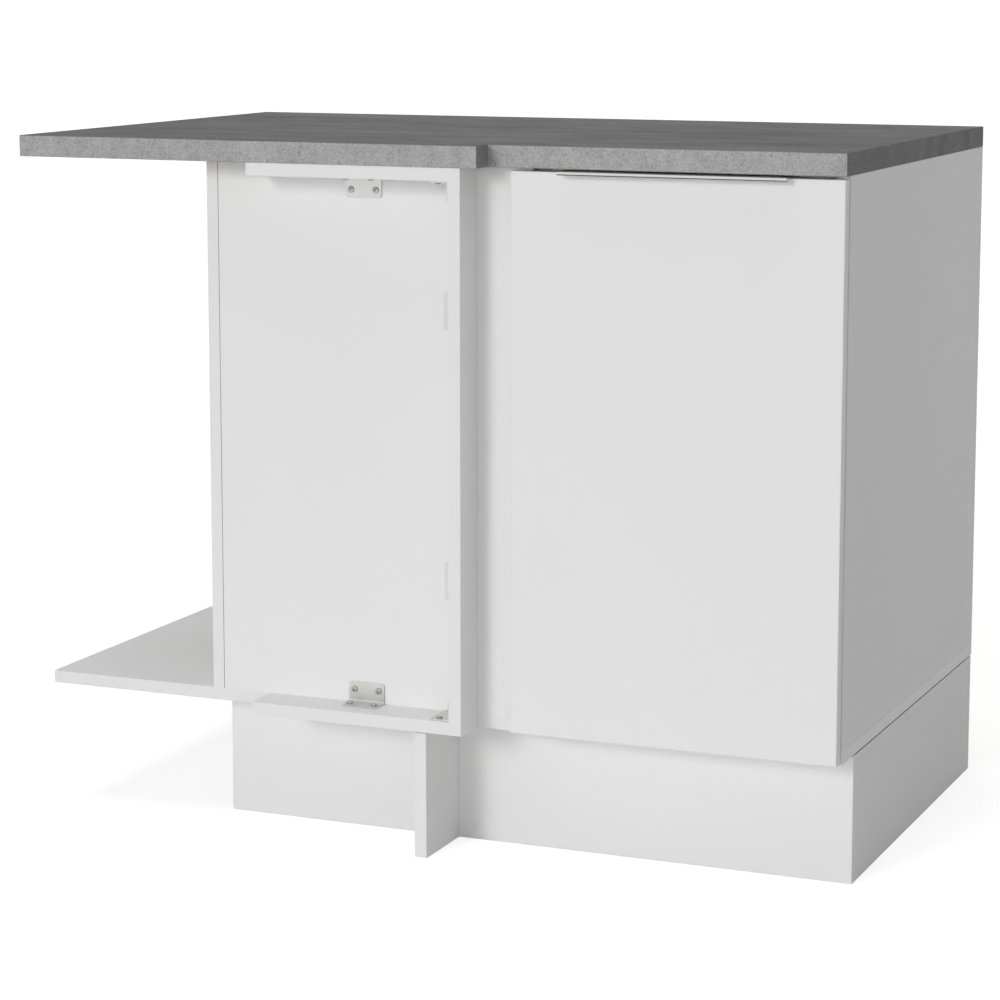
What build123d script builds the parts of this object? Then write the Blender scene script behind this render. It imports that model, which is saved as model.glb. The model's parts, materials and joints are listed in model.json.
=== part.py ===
from build123d import *
import os

os.makedirs("parts", exist_ok=True)

# Driving sizes in mm. X runs left to right, Y from the front to the wall, Z up from the floor.
# The origin is on the floor, under the middle of the worktop's outline.

# Worktop: its left section stands further forward, where the next run of units meets it
overall_width = 1000.0
overall_height = 820.0
worktop_depth = 600.0
worktop_thickness = 25.0
corner_step = 33.0
worktop_overhang = 15.5
worktop_edge_ease = 0.6

# Carcass boards
board = 15.0
edge_ease = 0.3
carcass_underside = 149.0
inner_width = 747.5
bottom_left_gap = 2.0
rail_depth = 80.0
back_thickness = 3.0
back_inset = 10.0
groove_depth = 8.0
groove_play = 0.2
groove_end_play = 1.0

# Door and its gaps
door_width = 385.0
door_thickness = 15.0
door_gap = 3.0
door_side_reveal = 0.5
door_top_gap = 3.5
door_bottom_gap = 2.5
blind_panel_behind_door = 20.0

# Corner filler, a post with a strip at its head and foot
door_to_filler = 48.5
step_past_filler = 20.0
filler_depth = 48.0
strip_length = 252.0

# Plinth boards
plinth_setback = 49.0
plinth_past_partition = 1.5
plinth_top_gap = 1.5
plinth_rear_gap = 3.0
return_setback = 44.5
return_length = 94.5

# Shelf and its pins
shelf_above_bottom = 306.0
shelf_front_gap = 53.3
shelf_rear_play = 3.0
shelf_side_play = 1.0
pin_radius = 2.5
pin_play = 0.05
pin_insert = 8.0
pin_hole_depth = 9.0
pin_peg_length = 8.0
pin_peg_width = 9.0
pin_peg_height = 3.0
pin_row_setback = 45.0
pin_pitch = 32.0
pin_holes_each_way = 2

# Handle, an edge profile that hooks over the door's top edge
handle_length = 264.0
handle_plate = 1.9
handle_reach = 14.5
handle_lip = 4.2
handle_back_leg = 22.0
handle_back_thickness = 1.5
handle_ease = 0.4
handle_screw_pitch = 100.0
handle_screw_drop = 13.0

# Concealed hinges
hinge_inset = 100.0
hinge_pin_from_edge = 7.0
hinge_pin_above_cup_floor = 3.2
hinge_pin_radius = 1.5
hinge_pin_fit = 0.02
hinge_running_play = 0.05
cup_radius = 17.5
cup_front_skin = 2.5
cup_wall = 0.8
cup_from_edge = 3.0
cup_bore_play = 0.1
cheek_gap = 0.3
cheek_thickness = 2.0
cheek_wall = 1.1
flange_height = 62.0
flange_width = 14.0
flange_thickness = 1.0
cup_screw_pitch = 50.0
arm_half_height = 4.0
arm_barrel_wall = 0.75
arm_strip = 2.4
arm_bend_from_side = 7.0
arm_body_depth = 10.0
arm_body_half_height = 5.5
arm_body_start = 6.0
arm_body_end = 62.0
arm_body_ease = 1.2
arm_screw_setbacks = (22.0, 50.0)
hinge_plate_thickness = 2.5
hinge_plate_height = 46.0
hinge_plate_width = 14.0
hinge_plate_setback = 37.0
hinge_plate_end_play = 2.0
hinge_screw_pitch = 32.0

# Angle brackets: two equal legs, two screws in each
bracket_width = 45.0
bracket_leg = 25.0
bracket_thickness = 2.0
bracket_rounding = 4.0
bracket_bend_radius = 1.5
bracket_hole_pitch = 31.0
bracket_hole_from_edge = 9.3
bracket_seat_play = 0.5
centre_bracket_from_filler = 125.0
high_bracket_drop = 165.0
low_bracket_rise = 169.0
return_bracket_z = 74.0
plinth_corner_bracket_z = 38.0

# Levelling legs
pad_radius = 30.0
pad_thickness = 8.0
pad_ease = 1.5
pad_plinth_gap = 1.5
stem_radius = 13.1
stem_top = 113.0
stem_play = 0.1
collar_reach = 6.9
collar_bottom = 40.0
collar_height = 12.0
collar_sides = 6
socket_wall = 3.8
socket_bottom = 62.0
socket_plate = 54.0
socket_plate_thickness = 4.0
socket_plate_rounding = 4.0
socket_screw_pitch = 42.0
leg_rear_setback = 60.0
centre_leg_inside = 60.0
left_leg_from_left = 62.0

# Plinth clips that grip the sockets
clip_height = 20.0
clip_wall = 2.4
clip_play = 0.1
clip_plate_width = 36.0
clip_plate_thickness = 3.0
clip_web = 12.0
clip_mouth = 22.0
clip_screw_pitch = 26.0
front_clip_z = 70.0
side_clip_z = 100.0

# Screws: each kind has its head's height, its shank's radius and its length below the head
screw_play = 0.03
screw_clearance = 0.3
screw_head_radius = 3.9
screw_head_crown = 0.55
screw_tip = 2.0
round_head_height = 2.2
flat_head_height = 1.1
thin_shank = 1.6
thick_shank = 2.4
short_screw = 12.0
screw_sizes = {
    "bracket_screws": (round_head_height, thin_shank, short_screw),
    "leg_socket_screws": (round_head_height, thin_shank, short_screw),
    "plinth_clip_screws": (round_head_height, thin_shank, short_screw),
    "handle_screws": (flat_head_height, thin_shank, short_screw),
    "hinge_cup_screws": (flat_head_height, thin_shank, 11.0),
    "hinge_plate_screws": (round_head_height, thick_shank, 11.0),
    "hinge_arm_screws": (flat_head_height, thick_shank, 6.0),
    "worktop_screws": (round_head_height, thin_shank, 30.0),
}
worktop_screw_from_end = 120.0

# Cam fittings and dowels that hold the carcass together
cam_radius = 7.4
cam_play = 0.1
cam_depth = 12.0
cam_pocket_depth = 12.5
cam_setback = 24.0
cam_slot = 1.4
cam_slot_length = 8.0
cam_slot_depth = 3.0
cam_bolt_radius = 2.5
cam_bolt_head_radius = 3.5
cam_bolt_head_length = 3.0
cam_bolt_insert = 11.0
cam_channel_play = 0.5
cam_hollow_play = 0.7
dowel_radius = 4.0
dowel_play = 0.05
dowel_insert = 11.0
dowel_length = 30.0
dowel_end_play = 1.0
dowel_from_bolt = 32.0
cam_from_board_end = 60.0
cam_from_rail_edge = 24.0
blind_cam_from_end = 120.0

# Door bumpers
bumper_radius = 4.0
bumper_play = 0.2
bumper_from_edge = 10.0
bumper_from_end = 30.0

# Places worked out from the driving sizes: the worktop and the carcass
right_x = overall_width / 2
left_x = -overall_width / 2
rear_y = (worktop_depth + corner_step) / 2
corner_front_y = -rear_y
worktop_front_y = corner_front_y + corner_step
worktop_underside = overall_height - worktop_thickness
carcass_front_y = worktop_front_y + worktop_overhang
bottom_top = carcass_underside + board
bottom_left_x = left_x + bottom_left_gap
side_inner_x = right_x - board
partition_inner_x = side_inner_x - inner_width
partition_left_x = partition_inner_x - board
back_front_y = rear_y - back_inset - back_thickness - groove_play
front_rail_y = carcass_front_y + board
rear_rail_y = back_front_y - rail_depth
rail_bottom = worktop_underside - board

# The door, and the blind panel beside it
door_right_x = right_x - door_side_reveal
door_left_x = door_right_x - door_width
door_top = worktop_underside - door_top_gap
door_bottom = carcass_underside + door_bottom_gap
door_back_y = carcass_front_y - door_gap
door_front_y = door_back_y - door_thickness
blind_right_x = door_left_x + blind_panel_behind_door
blind_back_y = carcass_front_y + board

# The filler, the worktop's step above it and the plinth below it
filler_right_x = door_left_x - door_to_filler
filler_left_x = filler_right_x - board
filler_front_y = carcass_front_y - filler_depth
strip_left_x = filler_left_x - strip_length
step_x = filler_right_x + step_past_filler
plinth_front_y = carcass_front_y + plinth_setback
plinth_back_y = plinth_front_y + board
plinth_height = carcass_underside - plinth_top_gap
plinth_left_x = partition_left_x - plinth_past_partition
return_right_x = filler_right_x - return_setback
return_left_x = return_right_x - board

# The shelf
shelf_underside = bottom_top + shelf_above_bottom
shelf_front_y = blind_back_y + shelf_front_gap
shelf_rear_y = back_front_y - shelf_rear_play

up, down = (0, 0, 1), (0, 0, -1)
left, right = (-1, 0, 0), (1, 0, 0)
front, rear = (0, -1, 0), (0, 1, 0)

# Holes for each board and seats for each kind of screw, filled in as the fittings are placed
holes = {}
seats = {}


def step_from(point, way, distance):
    return tuple(along + part * distance for along, part in zip(point, way))


def bore(board_name, point, way_out, radius, depth):
    mouth = Plane(origin=point, z_dir=way_out)
    holes.setdefault(board_name, []).append((mouth, radius, depth))


def drill(board_name):
    for mouth, radius, depth in holes.get(board_name, []):
        with Locations(mouth):
            Hole(radius, depth)


def seat_screw(kind, head, way_out, board_name, grip):
    """A screw whose head bears at head on a plate as thick as grip, and its pilot hole in the board below."""
    head_height, shank_radius, length = screw_sizes[kind]
    seats.setdefault(kind, []).append(Plane(origin=head, z_dir=way_out))
    surface = step_from(head, way_out, -grip)
    bore(board_name, surface, way_out, shank_radius + screw_play, length - grip + screw_play)


def fill(low, high, mode=Mode.ADD):
    """A square-edged block between two corners, in the part that is open."""
    size = [top - bottom for bottom, top in zip(low, high)]
    middle = tuple((bottom + top) / 2 for bottom, top in zip(low, high))
    with Locations(middle):
        Box(*size, mode=mode)


def either_side(pitch):
    return (-pitch / 2, pitch / 2)


# Cam fittings. Each has a bolt in one board and a cam in the other, with a dowel beside it.
cam_places = []
bolt_places = []
dowel_places = []
cam_channel_radius = cam_bolt_head_radius + cam_channel_play
cam_hollow_radius = cam_bolt_head_radius + cam_hollow_play


def join_boards(joint, way, cam_faces, dowel_way, bolt_board, cam_board):
    """The bolt crosses at joint, going way, from its board's face into the middle of the cam's board."""
    back = tuple(-part for part in way)
    cam_centre = step_from(joint, way, cam_setback)
    cam_mouth = step_from(cam_centre, cam_faces, board / 2)
    bolt_places.append(Plane(origin=joint, z_dir=way))
    cam_places.append(Plane(origin=cam_mouth, x_dir=way, z_dir=cam_faces))
    bore(bolt_board, joint, way, cam_bolt_radius + screw_play, cam_bolt_insert + screw_play)
    bore(cam_board, joint, back, cam_channel_radius, cam_setback)
    bore(cam_board, cam_mouth, cam_faces, cam_radius + cam_play, cam_pocket_depth)
    dowel = step_from(joint, dowel_way, dowel_from_bolt)
    dowel_places.append(Plane(origin=dowel, z_dir=way))
    far_end = dowel_length - dowel_insert + dowel_end_play
    bore(bolt_board, dowel, way, dowel_radius + dowel_play, dowel_insert + dowel_end_play)
    bore(cam_board, dowel, back, dowel_radius + dowel_play, far_end)


# The right side and the partition stand on the bottom panel
front_cam_y = carcass_front_y + cam_from_board_end
rear_cam_y = rear_y - cam_from_board_end - board
for side_name, middle_x, inward in (
    ("right_side_panel", right_x - board / 2, left),
    ("partition_panel", partition_left_x + board / 2, right),
):
    for cam_y, dowel_way in ((front_cam_y, rear), (rear_cam_y, front)):
        joint = (middle_x, cam_y, bottom_top)
        join_boards(joint, up, inward, dowel_way, "bottom_panel", side_name)

# The rails run between them, under the worktop
for rail_name, rail_y in (("front_top_rail", front_rail_y), ("rear_top_rail", rear_rail_y)):
    for side_name, end_x, way in (
        ("right_side_panel", side_inner_x, left),
        ("partition_panel", partition_inner_x, right),
    ):
        joint = (end_x, rail_y + cam_from_rail_edge, rail_bottom + board / 2)
        join_boards(joint, way, down, rear, side_name, rail_name)

# The blind panel stands on the bottom panel and butts against the partition
blind_middle_y = carcass_front_y + board / 2
for cam_x, dowel_way in (
    (partition_inner_x + cam_from_board_end, right),
    (blind_right_x - cam_from_board_end, left),
):
    joint = (cam_x, blind_middle_y, bottom_top)
    join_boards(joint, up, rear, dowel_way, "bottom_panel", "blind_panel")
for cam_z, dowel_way in (
    (bottom_top + blind_cam_from_end, up),
    (worktop_underside - blind_cam_from_end, down),
):
    joint = (partition_inner_x, blind_middle_y, cam_z)
    join_boards(joint, right, rear, dowel_way, "partition_panel", "blind_panel")

with BuildPart() as cam:
    with BuildSketch():
        Circle(cam_radius)
    extrude(amount=-cam_depth)
    with BuildSketch(Plane((-cam_radius, 0, -board / 2), x_dir=rear, z_dir=right)):
        Circle(cam_hollow_radius)
    extrude(amount=cam_radius + cam_bolt_head_length, mode=Mode.SUBTRACT)
    with BuildSketch():
        Rectangle(cam_slot_length, cam_slot)
        Rectangle(cam_slot, cam_slot_length)
    extrude(amount=-cam_slot_depth, mode=Mode.SUBTRACT)

with BuildPart() as cam_locks:
    with Locations(*cam_places):
        add(cam.part)
cam_locks.part.label = "cam_locks"
export_step(cam_locks.part, "parts/cam_locks.step")

with BuildPart() as cam_bolts:
    for place in bolt_places:
        with BuildSketch(place.offset(-cam_bolt_insert)):
            Circle(cam_bolt_radius)
        extrude(amount=cam_bolt_insert + cam_setback)
        with BuildSketch(place.offset(cam_setback - cam_bolt_head_length / 2)):
            Circle(cam_bolt_head_radius)
        extrude(amount=cam_bolt_head_length)
cam_bolts.part.label = "cam_bolts"
export_step(cam_bolts.part, "parts/cam_bolts.step")

with BuildPart() as dowels:
    for place in dowel_places:
        with BuildSketch(place.offset(-dowel_insert)):
            Circle(dowel_radius)
        extrude(amount=dowel_length)
dowels.part.label = "dowels"
export_step(dowels.part, "parts/dowels.step")

# Angle brackets, each placed by its inner corner, with one leg along X of its plane and one along Z.
# Each entry names the board under the leg along X, then the board under the leg along Z.
strip_top = carcass_underside + board
strip_underside = worktop_underside - board
centre_bracket_x = filler_left_x - centre_bracket_from_filler
high_bracket_z = worktop_underside - high_bracket_drop
low_bracket_z = carcass_underside + low_bracket_rise
end_bracket_y = carcass_front_y - bracket_width / 2 - bracket_seat_play
bracket_places = {
    "bracket_head_strip": (
        Plane((centre_bracket_x, carcass_front_y, strip_underside), x_dir=front, z_dir=down),
        "filler_top_strip",
        "blind_panel",
    ),
    "bracket_foot_strip": (
        Plane((centre_bracket_x, carcass_front_y, strip_top), x_dir=front, z_dir=up),
        "filler_bottom_strip",
        "blind_panel",
    ),
    "bracket_post_high": (
        Plane((filler_left_x, carcass_front_y, high_bracket_z), x_dir=front, z_dir=left),
        "filler_panel",
        "blind_panel",
    ),
    "bracket_post_low": (
        Plane((filler_left_x, carcass_front_y, low_bracket_z), x_dir=front, z_dir=left),
        "filler_panel",
        "blind_panel",
    ),
    "bracket_post_head": (
        Plane((filler_left_x, end_bracket_y, strip_underside), x_dir=left, z_dir=down),
        "filler_top_strip",
        "filler_panel",
    ),
    "bracket_post_foot": (
        Plane((filler_left_x, end_bracket_y, strip_top), x_dir=left, z_dir=up),
        "filler_bottom_strip",
        "filler_panel",
    ),
    "bracket_plinth_return": (
        Plane((return_left_x, plinth_front_y, return_bracket_z), x_dir=left, z_dir=front),
        "plinth_front",
        "plinth_return",
    ),
    "bracket_plinth_corner": (
        Plane((side_inner_x, plinth_back_y, plinth_corner_bracket_z), x_dir=left, z_dir=rear),
        "plinth_front",
        "plinth_side",
    ),
}

bracket_hole_reach = bracket_leg - bracket_hole_from_edge
with BuildPart() as angle:
    with BuildSketch(Plane.XZ.offset(-bracket_width / 2)):
        with BuildLine():
            Polyline(
                (0, 0),
                (bracket_leg, 0),
                (bracket_leg, bracket_thickness),
                (bracket_thickness, bracket_thickness),
                (bracket_thickness, bracket_leg),
                (0, bracket_leg),
                close=True,
            )
        make_face()
    extrude(amount=bracket_width)
    lengthwise = angle.edges().filter_by(Axis.Y)
    outer_bend, inner_bend = lengthwise.sort_by_distance((0, 0, 0))[:2]
    fillet([outer_bend, inner_bend], radius=bracket_bend_radius)
    ends = angle.faces().sort_by(Axis.X)[-1].edges().filter_by(Axis.Z)
    tops = angle.faces().sort_by(Axis.Z)[-1].edges().filter_by(Axis.X)
    fillet(ends + tops, radius=bracket_rounding)
    for side in either_side(bracket_hole_pitch):
        with Locations(
            Plane((bracket_hole_reach, side, 0), z_dir=up),
            Plane((0, side, bracket_hole_reach), z_dir=right),
        ):
            Hole(thin_shank + screw_clearance, bracket_thickness * 2)

for bracket_name, (place, flat_board, upright_board) in bracket_places.items():
    with BuildPart() as bracket:
        with Locations(place):
            add(angle.part)
    bracket.part.label = bracket_name
    export_step(bracket.part, f"parts/{bracket_name}.step")
    for side in either_side(bracket_hole_pitch):
        flat_head = place.from_local_coords((bracket_hole_reach, side, bracket_thickness))
        upright_head = place.from_local_coords((bracket_thickness, side, bracket_hole_reach))
        for head, way_out, board_name in (
            (flat_head, place.z_dir, flat_board),
            (upright_head, place.x_dir, upright_board),
        ):
            seat_screw("bracket_screws", tuple(head), tuple(way_out), board_name, bracket_thickness)

# Legs: five stand behind the plinth; the front left corner overhangs
leg_behind_plinth = pad_radius + pad_plinth_gap
front_leg_y = plinth_back_y + leg_behind_plinth
rear_leg_y = rear_y - leg_rear_setback
right_leg_x = side_inner_x - leg_behind_plinth
centre_leg_x = partition_inner_x + centre_leg_inside
leg_places = {
    "right_front": (right_leg_x, front_leg_y),
    "right_rear": (right_leg_x, rear_leg_y),
    "centre_front": (centre_leg_x, front_leg_y),
    "centre_rear": (centre_leg_x, rear_leg_y),
    "left_rear": (left_x + left_leg_from_left, rear_leg_y),
}
socket_plate_bottom = carcass_underside - socket_plate_thickness
socket_bore_radius = stem_radius + stem_play
socket_radius = socket_bore_radius + socket_wall

with BuildPart() as leg_sockets:
    for leg_x, leg_y in leg_places.values():
        with BuildSketch(Plane.XY.offset(socket_plate_bottom)):
            with Locations((leg_x, leg_y)):
                RectangleRounded(socket_plate, socket_plate, socket_plate_rounding)
        extrude(amount=socket_plate_thickness)
        with BuildSketch(Plane.XY.offset(socket_bottom)):
            with Locations((leg_x, leg_y)):
                Circle(socket_radius)
        extrude(amount=socket_plate_bottom - socket_bottom)
        with Locations(Plane((leg_x, leg_y, socket_bottom), z_dir=down)):
            Hole(socket_bore_radius, socket_plate_bottom - socket_bottom)
        for side_x in either_side(socket_screw_pitch):
            for side_y in either_side(socket_screw_pitch):
                head = (leg_x + side_x, leg_y + side_y, socket_plate_bottom)
                seat_screw("leg_socket_screws", head, down, "bottom_panel", socket_plate_thickness)
                with Locations(Plane(origin=head, z_dir=down)):
                    Hole(thin_shank + screw_clearance, socket_plate_thickness)
leg_sockets.part.label = "leg_sockets"
export_step(leg_sockets.part, "parts/leg_sockets.step")

for leg_name, (leg_x, leg_y) in leg_places.items():
    with BuildPart() as foot:
        with BuildSketch():
            with Locations((leg_x, leg_y)):
                Circle(pad_radius)
        extrude(amount=pad_thickness)
        chamfer(foot.faces().sort_by(Axis.Z)[-1].edges(), length=pad_ease)
        with BuildSketch(Plane.XY.offset(pad_thickness)):
            with Locations((leg_x, leg_y)):
                Circle(stem_radius)
        extrude(amount=stem_top - pad_thickness)
        with BuildSketch(Plane.XY.offset(collar_bottom)):
            with Locations((leg_x, leg_y)):
                RegularPolygon(stem_radius + collar_reach, collar_sides)
        extrude(amount=collar_height)
    foot.part.label = f"foot_{leg_name}"
    export_step(foot.part, f"parts/foot_{leg_name}.step")

# Plinth clips: a plate on the back of the board and a sprung ring round the socket
clip_places = (
    (leg_places["right_front"], front, front_clip_z, "plinth_front"),
    (leg_places["centre_front"], front, front_clip_z, "plinth_front"),
    (leg_places["right_front"], right, side_clip_z, "plinth_side"),
    (leg_places["right_rear"], right, side_clip_z, "plinth_side"),
)
clip_inner = socket_radius + clip_play
clip_outer = clip_inner + clip_wall
clip_plate_reach = leg_behind_plinth - clip_plate_thickness
with BuildPart() as plinth_clips:
    for (leg_x, leg_y), way, clip_z, board_name in clip_places:
        with BuildSketch(Plane((leg_x, leg_y, clip_z), x_dir=way, z_dir=up)):
            Circle(clip_outer)
            with Locations((leg_behind_plinth / 2, 0)):
                Rectangle(leg_behind_plinth, clip_web)
            Circle(clip_inner, mode=Mode.SUBTRACT)
            with Locations((-clip_outer, 0)):
                Rectangle(clip_outer * 2, clip_mouth, mode=Mode.SUBTRACT)
            with Locations((clip_plate_reach + clip_plate_thickness / 2, 0)):
                Rectangle(clip_plate_thickness, clip_plate_width)
        extrude(amount=clip_height)
        clip_middle = (leg_x, leg_y, clip_z + clip_height / 2)
        plate_middle = step_from(clip_middle, way, clip_plate_reach)
        across = tuple(Vector(*up).cross(Vector(*way)))
        toward_leg = tuple(-part for part in way)
        for side in either_side(clip_screw_pitch):
            head = step_from(plate_middle, across, side)
            seat_screw("plinth_clip_screws", head, toward_leg, board_name, clip_plate_thickness)
            with Locations(Plane(origin=head, z_dir=toward_leg)):
                Hole(thin_shank + screw_clearance, clip_plate_thickness * 2)
plinth_clips.part.label = "plinth_clips"
export_step(plinth_clips.part, "parts/plinth_clips.step")

# Hinges: a cup in the door, an arm on a plate inside the right side panel, and the pin between
cup_depth = door_thickness - cup_front_skin
cup_x = door_right_x - cup_from_edge - cup_radius
cup_floor_y = door_back_y - cup_depth + cup_wall
hinge_pin_x = door_right_x - hinge_pin_from_edge
hinge_pin_y = cup_floor_y + hinge_pin_above_cup_floor
cheek_low = arm_half_height + cheek_gap
cheek_high = cheek_low + cheek_thickness
cheek_reach = hinge_pin_radius + cheek_wall
arm_barrel_radius = hinge_pin_radius + hinge_running_play + arm_barrel_wall
plate_face_x = side_inner_x - hinge_plate_thickness
arm_outer_x = plate_face_x - arm_body_depth
arm_bend_x = side_inner_x - arm_bend_from_side
arm_body_y = carcass_front_y + arm_body_start
arm_end_y = carcass_front_y + arm_body_end
hinge_plate_y = carcass_front_y + hinge_plate_setback
hinge_heights = {"lower": door_bottom + hinge_inset, "upper": door_top - hinge_inset}

for hinge_name, hinge_z in hinge_heights.items():
    cup_mouth = Plane((cup_x, door_back_y, hinge_z), x_dir=right, z_dir=rear)
    bore("door", cup_mouth.origin, rear, cup_radius + cup_bore_play, cup_depth + cup_bore_play)
    with BuildPart() as hinge_cup:
        with BuildSketch(cup_mouth):
            Circle(cup_radius)
        extrude(amount=-cup_depth)
        with BuildSketch(cup_mouth):
            Rectangle(flange_width, flange_height)
            Circle(cup_radius)
        extrude(amount=flange_thickness)
        with BuildSketch(cup_mouth.offset(flange_thickness)):
            Circle(cup_radius - cup_wall)
        extrude(amount=-(cup_depth - cup_wall + flange_thickness), mode=Mode.SUBTRACT)
        for cheek_z in (hinge_z - cheek_high, hinge_z + cheek_low):
            fill(
                (hinge_pin_x - cheek_reach, cup_floor_y, cheek_z),
                (hinge_pin_x + cheek_reach, hinge_pin_y + cheek_reach, cheek_z + cheek_thickness),
            )
        with Locations(Plane((hinge_pin_x, hinge_pin_y, hinge_z), z_dir=up)):
            Hole(hinge_pin_radius + hinge_pin_fit, cheek_high)
        for side in either_side(cup_screw_pitch):
            head = (cup_x, door_back_y + flange_thickness, hinge_z + side)
            seat_screw("hinge_cup_screws", head, rear, "door", flange_thickness)
            with Locations(Plane(origin=head, z_dir=rear)):
                Hole(thin_shank + screw_clearance, flange_thickness * 2)
    hinge_cup.part.label = f"{hinge_name}_hinge_cup"
    export_step(hinge_cup.part, f"parts/{hinge_name}_hinge_cup.step")

    with BuildPart() as hinge_pin:
        with BuildSketch(Plane.XY.offset(hinge_z - cheek_high)):
            with Locations((hinge_pin_x, hinge_pin_y)):
                Circle(hinge_pin_radius)
        extrude(amount=cheek_high * 2)
    hinge_pin.part.label = f"{hinge_name}_hinge_pin"
    export_step(hinge_pin.part, f"parts/{hinge_name}_hinge_pin.step")

    with BuildPart() as hinge_arm:
        fill(
            (arm_outer_x, arm_body_y, hinge_z - arm_body_half_height),
            (plate_face_x, arm_end_y, hinge_z + arm_body_half_height),
        )
        chamfer(hinge_arm.faces().sort_by(Axis.X)[0].edges(), length=arm_body_ease)
        with BuildSketch(Plane.XY.offset(hinge_z - arm_half_height)):
            with BuildLine():
                hook_line = FilletPolyline(
                    (hinge_pin_x, hinge_pin_y),
                    (arm_bend_x, hinge_pin_y),
                    (arm_bend_x, arm_body_y + arm_strip),
                    radius=arm_strip,
                )
                offset(hook_line, amount=arm_strip / 2)
            make_face()
            with Locations((hinge_pin_x, hinge_pin_y)):
                Circle(arm_barrel_radius)
        extrude(amount=arm_half_height * 2)
        with Locations(Plane((hinge_pin_x, hinge_pin_y, hinge_z), z_dir=up)):
            Hole(hinge_pin_radius + hinge_running_play, arm_half_height)
        for setback in arm_screw_setbacks:
            arm_screw_seat = Plane((arm_outer_x, carcass_front_y + setback, hinge_z), z_dir=left)
            seats.setdefault("hinge_arm_screws", []).append(arm_screw_seat)
            head_height, shank_radius, length = screw_sizes["hinge_arm_screws"]
            with Locations(arm_screw_seat):
                Hole(shank_radius + screw_play, length + screw_play)
    hinge_arm.part.label = f"{hinge_name}_hinge_arm"
    export_step(hinge_arm.part, f"parts/{hinge_name}_hinge_arm.step")

    with BuildPart() as hinge_plate:
        fill(
            (plate_face_x, arm_body_y + hinge_plate_end_play, hinge_z - arm_body_half_height),
            (side_inner_x, arm_end_y - hinge_plate_end_play, hinge_z + arm_body_half_height),
        )
        fill(
            (plate_face_x, hinge_plate_y - hinge_plate_width / 2, hinge_z - hinge_plate_height / 2),
            (side_inner_x, hinge_plate_y + hinge_plate_width / 2, hinge_z + hinge_plate_height / 2),
        )
        for side in either_side(hinge_screw_pitch):
            head = (plate_face_x, hinge_plate_y, hinge_z + side)
            seat_screw("hinge_plate_screws", head, left, "right_side_panel", hinge_plate_thickness)
            with Locations(Plane(origin=head, z_dir=left)):
                Hole(thick_shank + screw_clearance, hinge_plate_thickness * 2)
    hinge_plate.part.label = f"{hinge_name}_hinge_plate"
    export_step(hinge_plate.part, f"parts/{hinge_name}_hinge_plate.step")

# Handle: plate over the door's top edge, a lip turned down in front, a leg behind the door
handle_x = (door_left_x + door_right_x) / 2
handle_left_x = handle_x - handle_length / 2
handle_front_y = door_front_y - handle_reach
handle_back_y = door_back_y + handle_back_thickness
handle_top = door_top + handle_plate
with BuildPart() as door_handle:
    with BuildSketch(Plane.YZ.offset(handle_left_x)):
        with BuildLine():
            Polyline(
                (handle_front_y, handle_top),
                (handle_back_y, handle_top),
                (handle_back_y, door_top - handle_back_leg),
                (door_back_y, door_top - handle_back_leg),
                (door_back_y, door_top),
                (handle_front_y + handle_plate, door_top),
                (handle_front_y + handle_plate, handle_top - handle_lip),
                (handle_front_y, handle_top - handle_lip),
                close=True,
            )
        make_face()
    extrude(amount=handle_length)
    lip_edges = door_handle.edges().filter_by(Axis.X).group_by(Axis.Y)[0]
    fillet(lip_edges, radius=handle_ease)
    for side in (-handle_screw_pitch, 0, handle_screw_pitch):
        head = (handle_x + side, handle_back_y, door_top - handle_screw_drop)
        seat_screw("handle_screws", head, rear, "door", handle_back_thickness)
        with Locations(Plane(origin=head, z_dir=rear)):
            Hole(thin_shank + screw_clearance, handle_back_thickness * 2)
door_handle.part.label = "door_handle"
export_step(door_handle.part, "parts/door_handle.step")

with BuildPart() as door_bumpers:
    for bumper_z in (door_bottom + bumper_from_end, door_top - bumper_from_end):
        with BuildSketch(Plane((door_left_x + bumper_from_edge, door_back_y, bumper_z), z_dir=rear)):
            Circle(bumper_radius)
        extrude(amount=door_gap - bumper_play)
door_bumpers.part.label = "door_bumpers"
export_step(door_bumpers.part, "parts/door_bumpers.step")

# Worktop screws go up through both rails
for rail_name, rail_y in (("front_top_rail", front_rail_y), ("rear_top_rail", rear_rail_y)):
    for screw_x in (partition_inner_x + worktop_screw_from_end, side_inner_x - worktop_screw_from_end):
        head = (screw_x, rail_y + rail_depth / 2, rail_bottom)
        seat_screw("worktop_screws", head, down, "worktop", board)
        bore(rail_name, head, down, thin_shank + screw_clearance, board * 2)

# Shelf pins and the rows of holes that they go in
pin_rows = (shelf_front_y + pin_row_setback, shelf_rear_y - pin_row_setback)
pin_z = shelf_underside - pin_peg_height / 2
pin_places = []
for side_name, face_x, way_out in (
    ("right_side_panel", side_inner_x, left),
    ("partition_panel", partition_inner_x, right),
):
    for row_y in pin_rows:
        pin_places.append(((face_x, row_y, pin_z), way_out))
        for step in range(-pin_holes_each_way, pin_holes_each_way + 1):
            mouth = (face_x, row_y, pin_z + step * pin_pitch)
            bore(side_name, mouth, way_out, pin_radius, pin_hole_depth)

with BuildPart() as shelf_pins:
    for point, way_out in pin_places:
        with BuildSketch(Plane(origin=point, z_dir=way_out)):
            Circle(pin_radius - pin_play)
        extrude(amount=-pin_insert)
        with BuildSketch(Plane(origin=point, x_dir=rear, z_dir=way_out)):
            Rectangle(pin_peg_width, pin_peg_height)
        extrude(amount=pin_peg_length)
shelf_pins.part.label = "shelf_pins"
export_step(shelf_pins.part, "parts/shelf_pins.step")

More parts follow.
